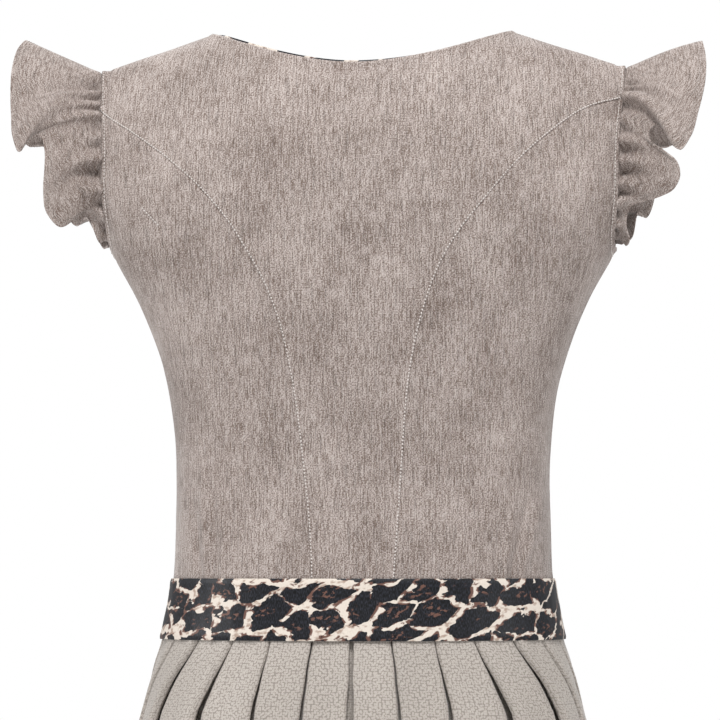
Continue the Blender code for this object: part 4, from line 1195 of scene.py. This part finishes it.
def make_tails(material):
    """The bow's two tails, which hang over the apron from under the knot."""
    down = np.linspace(0, 1, TAIL_ROWS)[None]
    spread = down**0.5
    width = np.linspace(-1, 1, TAIL_COLUMNS)[:, None]
    degree = float(millimetres_a_degree(BOW_TURN, BOW_Z - KNOT_HALF[2]))
    half = TAIL_HALF_TOP + TAIL_SPREAD * spread
    lift = TAIL_LIFT + TAIL_LIFT_GAIN * down**APRON_WAVE_POWER
    for name, side in (("bow_tail_left", -1), ("bow_tail_right", 1)):
        aside = side * (TAIL_APART + TAIL_PARTING * spread) + width * half
        under_knot = np.sqrt(1 - (aside[:, :1] * degree / KNOT_HALF[0]) ** 2)
        top = BOW_Z - TAIL_UNDER_KNOT * KNOT_HALF[2] * under_knot - SEAM_GAP
        z = top - TAIL_LENGTH * down * (1 + TAIL_SLANT * side * width)
        crests = apron_out(0.0, z) + 2 * APRON_WAVE_HEM * lift
        waves = TAIL_WAVE * np.cos(width * TAIL_BEND + side) * spread
        outs = crests + TAIL_CLEAR + waves + TAIL_TOP_OUT * (1 - down) ** 4
        grid = form_point(BOW_TURN + aside, z, outs)
        flat = laid_flat(width * half * millimetres_a_degree(BOW_TURN, z), z)
        obj = shell(name, *upright(grid, BOW_WALL), flat, "spotted_satin", material)
        sheet_of(flat)


# ---- stitching ----


def stitch_run(line, normals, stitch):
    """Points of short arched threads laid along a line on cloth: a block of rings for each."""
    length = run_along(line)
    middles = np.arange(stitch.pitch / 2, length[-1], stitch.pitch)
    place, normal = read_at(middles, length, line), unit(read_at(middles, length, normals))
    ahead, behind = (read_at(middles + step, length, line) for step in (0.5, -0.5))
    tangent = unit(ahead - behind)
    side = np.cross(normal, tangent)
    share = np.linspace(-1, 1, STITCH_RINGS)
    angle = np.linspace(0, 2 * math.pi, STITCH_SIDES, endpoint=False)
    radius = stitch.width / 2 * np.sqrt(np.maximum(1 - share**2, STITCH_TIP))
    up = stitch.lift * (1 - share**2)[:, None] + radius[:, None] * np.sin(angle)
    ring = share[:, None, None] * stitch.length / 2 * tangent[:, None, None]
    ring = ring + up[..., None] * normal[:, None, None]
    ring = ring + (radius[:, None] * np.cos(angle))[..., None] * side[:, None, None]
    return (place[:, None, None] + ring).reshape(-1, STITCH_RINGS * STITCH_SIDES, 3)


def add_stitches(name, runs, material):
    """One piece of all the stitches of these runs, each a line, its normals and its stitch."""
    points = np.concatenate([stitch_run(*run) for run in runs])
    quads = []
    for ring in range(STITCH_RINGS - 1):
        for i in range(STITCH_SIDES):
            a, b = ring * STITCH_SIDES + i, ring * STITCH_SIDES + (i + 1) % STITCH_SIDES
            quads.append((a, b, b + STITCH_SIDES, a + STITCH_SIDES))
    starts = np.arange(len(points))[:, None, None] * STITCH_RINGS * STITCH_SIDES
    every = (starts + np.array(quads)[None]).reshape(-1, 4)
    obj = mesh_object(name, points.reshape(-1, 3) * MM, every)
    obj.data.materials.append(material)
    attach(obj, "root")


def chart_run(line, stitch):
    """A run of stitches along a chart line of the bodice."""
    dense = even(line, STITCH_LINE_POINTS)
    place = from_chart(dense, stitch.out)
    return place, from_chart(dense, stitch.out + 1.0) - place, stitch


def make_bodice_stitches(pale):
    """Thread of the princess seams, the armholes' topstitching and one short run of stitches."""
    back_in, front_in = (
        shifted(even(armhole(front), ARMHOLE_POINTS), way * ARMHOLE_STITCH_IN)[ARMHOLE_FREE:]
        for front, way in ((False, -1), (True, 1))
    )
    left = shifted(princess(BACK_SEAM_LEFT, BACK_SEAM_TOP_LEFT), SEAM_STITCH_IN)
    right = shifted(princess(BACK_SEAM_RIGHT, BACK_SEAM_TOP_RIGHT), SEAM_STITCH_IN)
    front = shifted(princess(FRONT_SEAM, FRONT_SEAM_TOP, front=True), -SEAM_STITCH_IN)
    seams = (left, mirrored(right), front, mirrored(front))
    runs = [chart_run(line, SEAM_STITCH) for line in seams]
    dash = np.stack([chart(x, z) for x, z in SHORT_RUN])
    add_stitches("stitches_seams", [*runs, chart_run(dash, SHORT_RUN_STITCH)], pale)
    edges = (back_in, mirrored(back_in), front_in, mirrored(front_in))
    add_stitches("stitches_armholes", [chart_run(line, TOPSTITCH) for line in edges], pale)


# ---- materials ----


def rgb(red, green, blue):
    """Linear colour of a screen colour given from 0 to 255."""
    channels = [value / 255 for value in (red, green, blue)]
    linear = [c / 12.92 if c <= 0.04045 else ((c + 0.055) / 1.055) ** 2.4 for c in channels]
    return (*linear, 1.0)


CHENILLE_BROWN, CHENILLE_SILVER = rgb(98, 83, 75), rgb(170, 160, 155)
JACQUARD_DARK, JACQUARD_LIGHT = rgb(136, 128, 121), rgb(180, 172, 164)
PALE_THREAD, TAUPE_THREAD = rgb(214, 207, 202), rgb(158, 149, 143)
LEOPARD_BLACK, LEOPARD_CHARCOAL = rgb(12, 12, 14), rgb(40, 42, 50)
LEOPARD_BROWN, LEOPARD_CREAM, LEOPARD_TAN = rgb(100, 72, 63), rgb(206, 196, 185), rgb(160, 140, 127)

CLOTH_OUTPUTS = (
    ("Color", "NodeSocketColor"),
    ("Roughness", "NodeSocketFloat"),
    ("Height", "NodeSocketFloat"),
)


def feed(tree, node, inputs):
    """Joins a node's inputs to sockets, or sets them to values."""
    for key, value in inputs.items():
        if isinstance(value, bpy.types.NodeSocket):
            tree.links.new(value, node.inputs[key])
        else:
            node.inputs[key].default_value = value


def new_node(tree, kind, inputs=None, **settings):
    """A node with these settings, fed with these inputs."""
    node = tree.nodes.new(kind)
    for key, value in settings.items():
        setattr(node, key, value)
    feed(tree, node, inputs or {})
    return node


def maths(tree, operation, *values):
    """Socket of one step of arithmetic."""
    inputs = dict(enumerate(values))
    return new_node(tree, "ShaderNodeMath", inputs, operation=operation).outputs[0]


def layered(tree, base, *layers):
    """The base plus each layer times its gain."""
    for layer, gain in layers:
        base = maths(tree, "MULTIPLY_ADD", layer, gain, base)
    return base


def mix_colour(tree, share, one, two, blend="MIX"):
    """The first colour with so much of the second over it."""
    inputs = {0: share, 6: one, 7: two}
    return new_node(tree, "ShaderNodeMix", inputs, data_type="RGBA", blend_type=blend).outputs[2]


def toned(tree, colour, tone):
    """The colour made darker or lighter by a grey tone."""
    grey = new_node(tree, "ShaderNodeCombineColor", {0: tone, 1: tone, 2: tone}).outputs[0]
    return mix_colour(tree, 1.0, colour, grey, "MULTIPLY")


def cloth_place(tree, across, along, shear=0.0):
    """Cloth coordinates in repeats: so many millimetres across and along make one."""
    uv = new_node(tree, "ShaderNodeUVMap", uv_map="cloth")
    parts = new_node(tree, "ShaderNodeSeparateXYZ", {0: uv.outputs[0]})
    u = maths(tree, "MULTIPLY", parts.outputs[0], 1000.0 / across)
    v = maths(tree, "MULTIPLY", parts.outputs[1], 1000.0 / along)
    if shear:
        u = maths(tree, "ADD", u, maths(tree, "MULTIPLY", v, shear))
    return new_node(tree, "ShaderNodeCombineXYZ", {0: u, 1: v}).outputs[0]


def noise(tree, place, scale=1.0, detail=2.0, roughness=0.5, output=0):
    """Cloudy value over the cloth, or its colour as output 1."""
    inputs = {"Vector": place, "Scale": scale, "Detail": detail, "Roughness": roughness}
    return new_node(tree, "ShaderNodeTexNoise", inputs, noise_dimensions="2D").outputs[output]


def cells(tree, place, randomness, feature="F1"):
    """Distance to the heart of each cell over the cloth, or to its border."""
    inputs = {"Vector": place, "Scale": 1.0, "Randomness": randomness}
    settings = {"voronoi_dimensions": "2D", "feature": feature}
    return new_node(tree, "ShaderNodeTexVoronoi", inputs, **settings).outputs["Distance"]


def slanting_lines(tree, place, scale, distortion, detail=2.0):
    """Fine slanting lines, as of twill and of twisted thread."""
    inputs = {"Vector": place, "Scale": scale, "Distortion": distortion, "Detail": detail}
    return new_node(tree, "ShaderNodeTexWave", inputs, bands_direction="DIAGONAL").outputs[1]


def place_maths(tree, operation, inputs):
    """Socket of one step of arithmetic on places."""
    return new_node(tree, "ShaderNodeVectorMath", inputs, operation=operation).outputs[0]


def level(tree, value, low, high):
    """The value stretched so that low is 0 and high is 1."""
    inputs = {0: value, 1: low, 2: high}
    settings = {"interpolation_type": "SMOOTHSTEP"}
    return new_node(tree, "ShaderNodeMapRange", inputs, **settings).outputs[0]


def cloth_group(name, weave):
    """Node group of a cloth, whose outputs are the colour, roughness and height of its weave."""
    tree = bpy.data.node_groups.new(name, "ShaderNodeTree")
    for output, kind in CLOTH_OUTPUTS:
        tree.interface.new_socket(output, in_out="OUTPUT", socket_type=kind)
    ends = new_node(tree, "NodeGroupOutput")
    feed(tree, ends, {output: socket for (output, _), socket in zip(CLOTH_OUTPUTS, weave(tree))})
    return tree


def chenille_weave(tree):
    """Velvety twill: upright brown and silver slubs of several lengths under a cloudy bloom."""
    grain = noise(tree, cloth_place(tree, 0.85, 1.0), detail=1.0)
    fibre = noise(tree, cloth_place(tree, 1.0, 8.0), detail=3.0, roughness=0.7)
    slub = noise(tree, cloth_place(tree, 1.5, 30.0), detail=3.0, roughness=0.6)
    cloud = noise(tree, cloth_place(tree, 45.0, 60.0), detail=4.0, roughness=0.6)
    streak = noise(tree, cloth_place(tree, 1.2, 22.0), detail=3.0)
    twill = slanting_lines(tree, cloth_place(tree, 1.5, 1.5), 0.31, distortion=1.0, detail=1.0)
    silver = layered(tree, 0.0, (fibre, 0.37), (grain, 0.38), (slub, 0.15), (cloud, 0.10))
    colour = mix_colour(tree, level(tree, silver, 0.39, 0.61), CHENILLE_BROWN, CHENILLE_SILVER)
    dark_streak = level(tree, streak, 0.54, 0.68)
    tone = layered(tree, 0.86, (cloud, 0.30), (dark_streak, -0.27), (twill, 0.14))
    height = layered(tree, silver, (twill, 0.3))
    return toned(tree, colour, tone), layered(tree, 0.72, (grain, 0.2)), height


def jacquard_weave(tree):
    """Small light rings figured on a darker ground, with a fine weave and a cloudy tone."""
    heart = cells(tree, cloth_place(tree, 1.8, 1.7), 0.6)
    from_ring = maths(tree, "ABSOLUTE", maths(tree, "SUBTRACT", heart, 0.29))
    figure = level(tree, from_ring, 0.20, 0.07)
    weave = noise(tree, cloth_place(tree, 0.7, 0.9), detail=1.0)
    cloud = noise(tree, cloth_place(tree, 60.0, 140.0), detail=2.0)
    colour = mix_colour(tree, figure, JACQUARD_DARK, JACQUARD_LIGHT)
    tone = layered(tree, 0.74, (cloud, 0.22), (weave, 0.30))
    height = layered(tree, 0.0, (figure, 0.6), (weave, 0.5))
    return toned(tree, colour, tone), layered(tree, 0.62, (figure, -0.2)), height


def leopard_print(tree):
    """Dark blotches with broken brown rims and flecks on cream, drawn out along the cloth."""
    place = cloth_place(tree, 27.5, 18.0, shear=0.30)

    def speckle(scale, low, high):
        return level(tree, noise(tree, place, scale), low, high)

    warp = noise(tree, place, 1.3, detail=3.0, output=1)
    offset = place_maths(tree, "SUBTRACT", {0: warp, 1: (0.5, 0.5, 0.5)})
    offset = place_maths(tree, "SCALE", {0: offset, "Scale": 0.85})
    bent = place_maths(tree, "ADD", {0: place, 1: offset})
    border = cells(tree, bent, 0.95, "DISTANCE_TO_EDGE")
    heart = cells(tree, bent, 0.95)
    gap = layered(tree, -0.232, (noise(tree, place, 1.3, detail=3.0, roughness=0.6), 0.60))
    past_gap = maths(tree, "SUBTRACT", border, gap)
    inside = maths(tree, "SMOOTH_MIN", past_gap, maths(tree, "SUBTRACT", 0.72, heart), 0.09)
    patchy = speckle(3.1, 0.47, 0.53)
    rim = maths(tree, "MULTIPLY", level(tree, inside, 0.045, 0.015), patchy)
    fleck = maths(tree, "MULTIPLY", level(tree, heart, 0.30, 0.2), speckle(7.0, 0.55, 0.59))
    fleck = maths(tree, "MULTIPLY", fleck, speckle(1.1, 0.49, 0.54))
    thread = noise(tree, cloth_place(tree, 0.6, 2.4), detail=1.0)
    charcoal = mix_colour(tree, level(tree, thread, 0.40, 0.72), LEOPARD_BLACK, LEOPARD_CHARCOAL)
    blotch = mix_colour(tree, maths(tree, "MAXIMUM", rim, fleck), charcoal, LEOPARD_BROWN)
    cream = mix_colour(tree, speckle(4.0, 0.52, 0.7), LEOPARD_CREAM, LEOPARD_TAN)
    shadow = maths(tree, "MULTIPLY", level(tree, inside, -0.055, -0.02), patchy)
    ground = mix_colour(tree, shadow, cream, LEOPARD_BROWN)
    colour = mix_colour(tree, level(tree, inside, 0.0, 0.018), ground, blotch)
    colour = toned(tree, colour, layered(tree, 0.9, (thread, 0.2)))
    return colour, layered(tree, 0.34, (thread, 0.16)), thread


def blank_material(name):
    """A new material, its nodes and its shader."""
    material = bpy.data.materials.new(name)
    material.use_nodes = True
    return material, material.node_tree, material.node_tree.nodes["Principled BSDF"]


def cloth_material(name, group, bump, sheen, specular):
    """Material of a cloth that takes its looks from a group, with a relief so deep."""
    material, tree, shader = blank_material(name)
    looks = new_node(tree, "ShaderNodeGroup", node_tree=group)
    relief = {"Height": looks.outputs["Height"], "Distance": bump * MM}
    inputs = {
        "Base Color": looks.outputs["Color"],
        "Roughness": looks.outputs["Roughness"],
        "Normal": new_node(tree, "ShaderNodeBump", relief).outputs[0],
        "Sheen Weight": sheen,
        "Sheen Roughness": 0.4,
        "Specular IOR Level": specular,
    }
    feed(tree, shader, inputs)
    return material


def thread_material(name, colour):
    """Twisted thread: a fine slanting ply with a soft sheen."""
    material, tree, shader = blank_material(name)
    place = new_node(tree, "ShaderNodeTexCoord").outputs["Object"]
    ply = slanting_lines(tree, place, 900.0, distortion=2.0)
    relief = {"Height": ply, "Distance": 0.05 * MM}
    inputs = {
        "Base Color": toned(tree, colour, layered(tree, 0.75, (ply, 0.3))),
        "Normal": new_node(tree, "ShaderNodeBump", relief).outputs[0],
        "Roughness": 0.6,
        "Sheen Weight": 0.2,
    }
    feed(tree, shader, inputs)
    return material


# ---- studio ----

Lamp = namedtuple("Lamp", "name turn rise distance size power")
LAMPS = [
    Lamp("key", 180.0, 56.0, 2.6, 1.0, 63.0),
    Lamp("side", 105.0, 18.0, 2.6, 1.0, 24.0),
    Lamp("fill", 250.0, 24.0, 2.6, 1.4, 18.0),
    Lamp("front", 10.0, 45.0, 2.8, 1.4, 36.0),
]
CAMERA_TURN, CAMERA_RISE, CAMERA_DISTANCE = 184.5, -3.0, 3.0
CAMERA_TARGET = Vector((0.0021, 0.0, -0.231))
CAMERA_LENS, CAMERA_SENSOR, CAMERA_SEES_TO = 200.0, 36.0, 50.0
FLOOR_Z, FLOOR_REACH, FLOOR_GLOW = -1.13, 6.0, 0.25
FLOOR_COLOUR, FLOOR_ROUGHNESS = (0.86, 0.86, 0.86, 1.0), 0.9
WORLD_COLOUR, WORLD_LIGHT = (1.0, 1.0, 1.0, 1.0), 0.45


def add_aimed(obj, turn, rise, distance):
    """Puts a lamp or the camera so many metres from the target, and aims it there."""
    turn, rise = math.radians(turn), math.radians(rise)
    level_turn = (math.sin(turn) * math.cos(rise), -math.cos(turn) * math.cos(rise))
    back = Vector((*level_turn, math.sin(rise)))
    obj.location = CAMERA_TARGET + back * distance
    obj.rotation_euler = back.to_track_quat("Z", "Y").to_euler()
    bpy.context.scene.collection.objects.link(obj)


def add_camera():
    """The camera, at the photograph's viewing angle."""
    data = bpy.data.cameras.new("camera")
    data.lens, data.sensor_width = CAMERA_LENS, CAMERA_SENSOR
    data.clip_end = CAMERA_SEES_TO
    camera = bpy.data.objects.new("camera", data)
    add_aimed(camera, CAMERA_TURN, CAMERA_RISE, CAMERA_DISTANCE)
    bpy.context.scene.camera = camera


def add_world():
    """White all round, dimmer as light than it looks behind the garment."""
    world = bpy.data.worlds.new("studio")
    bpy.context.scene.world = world
    world.use_nodes = True
    tree = world.node_tree
    seen = new_node(tree, "ShaderNodeLightPath").outputs["Is Camera Ray"]
    strength = layered(tree, WORLD_LIGHT, (seen, 1.0 - WORLD_LIGHT))
    feed(tree, tree.nodes["Background"], {0: WORLD_COLOUR, 1: strength})


def add_floor():
    """Plain pale floor under the garment."""
    material, tree, shader = blank_material("floor")
    feed(tree, shader, {"Base Color": FLOOR_COLOUR, "Roughness": FLOOR_ROUGHNESS})
    feed(tree, shader, {"Emission Strength": FLOOR_GLOW})
    mesh = bpy.data.meshes.new("floor")
    sides = ((-1, -1), (1, -1), (1, 1), (-1, 1))
    corners = [(x * FLOOR_REACH, y * FLOOR_REACH, FLOOR_Z) for x, y in sides]
    mesh.from_pydata(corners, [], [(0, 1, 2, 3)])
    mesh.materials.append(material)
    floor = bpy.data.objects.new("floor", mesh)
    bpy.context.scene.collection.objects.link(floor)


def add_studio():
    """World, lamps and floor, shown without a film look."""
    bpy.context.scene.view_settings.view_transform = "Standard"
    add_world()
    for lamp in LAMPS:
        data = bpy.data.lights.new(lamp.name, "AREA")
        data.shape, data.size, data.energy = "DISK", lamp.size, lamp.power
        add_aimed(bpy.data.objects.new(lamp.name, data), lamp.turn, lamp.rise, lamp.distance)
    add_floor()


def main():
    """Makes the garment, its threads and the studio."""
    looks = cloth_group("chenille_weave", chenille_weave)
    chenille = cloth_material("chenille_cloth", looks, bump=0.25, sheen=0.2, specular=0.25)
    looks = cloth_group("jacquard_figure", jacquard_weave)
    jacquard = cloth_material("jacquard_cloth", looks, bump=0.15, sheen=0.15, specular=0.5)
    looks = cloth_group("leopard_print", leopard_print)
    satin = cloth_material("leopard_satin", looks, bump=0.05, sheen=0.0, specular=0.25)
    pale_thread = thread_material("pale_thread", PALE_THREAD)
    taupe_thread = thread_material("taupe_thread", TAUPE_THREAD)
    make_bodice(chenille)
    make_neck_facing(satin)
    make_ruffles(chenille, taupe_thread)
    make_bodice_stitches(pale_thread)
    make_skirt(jacquard)
    make_band(satin)
    make_apron(satin)
    make_knot(satin)
    make_loops(satin)
    make_tails(satin)
    add_studio()
    add_camera()


main()
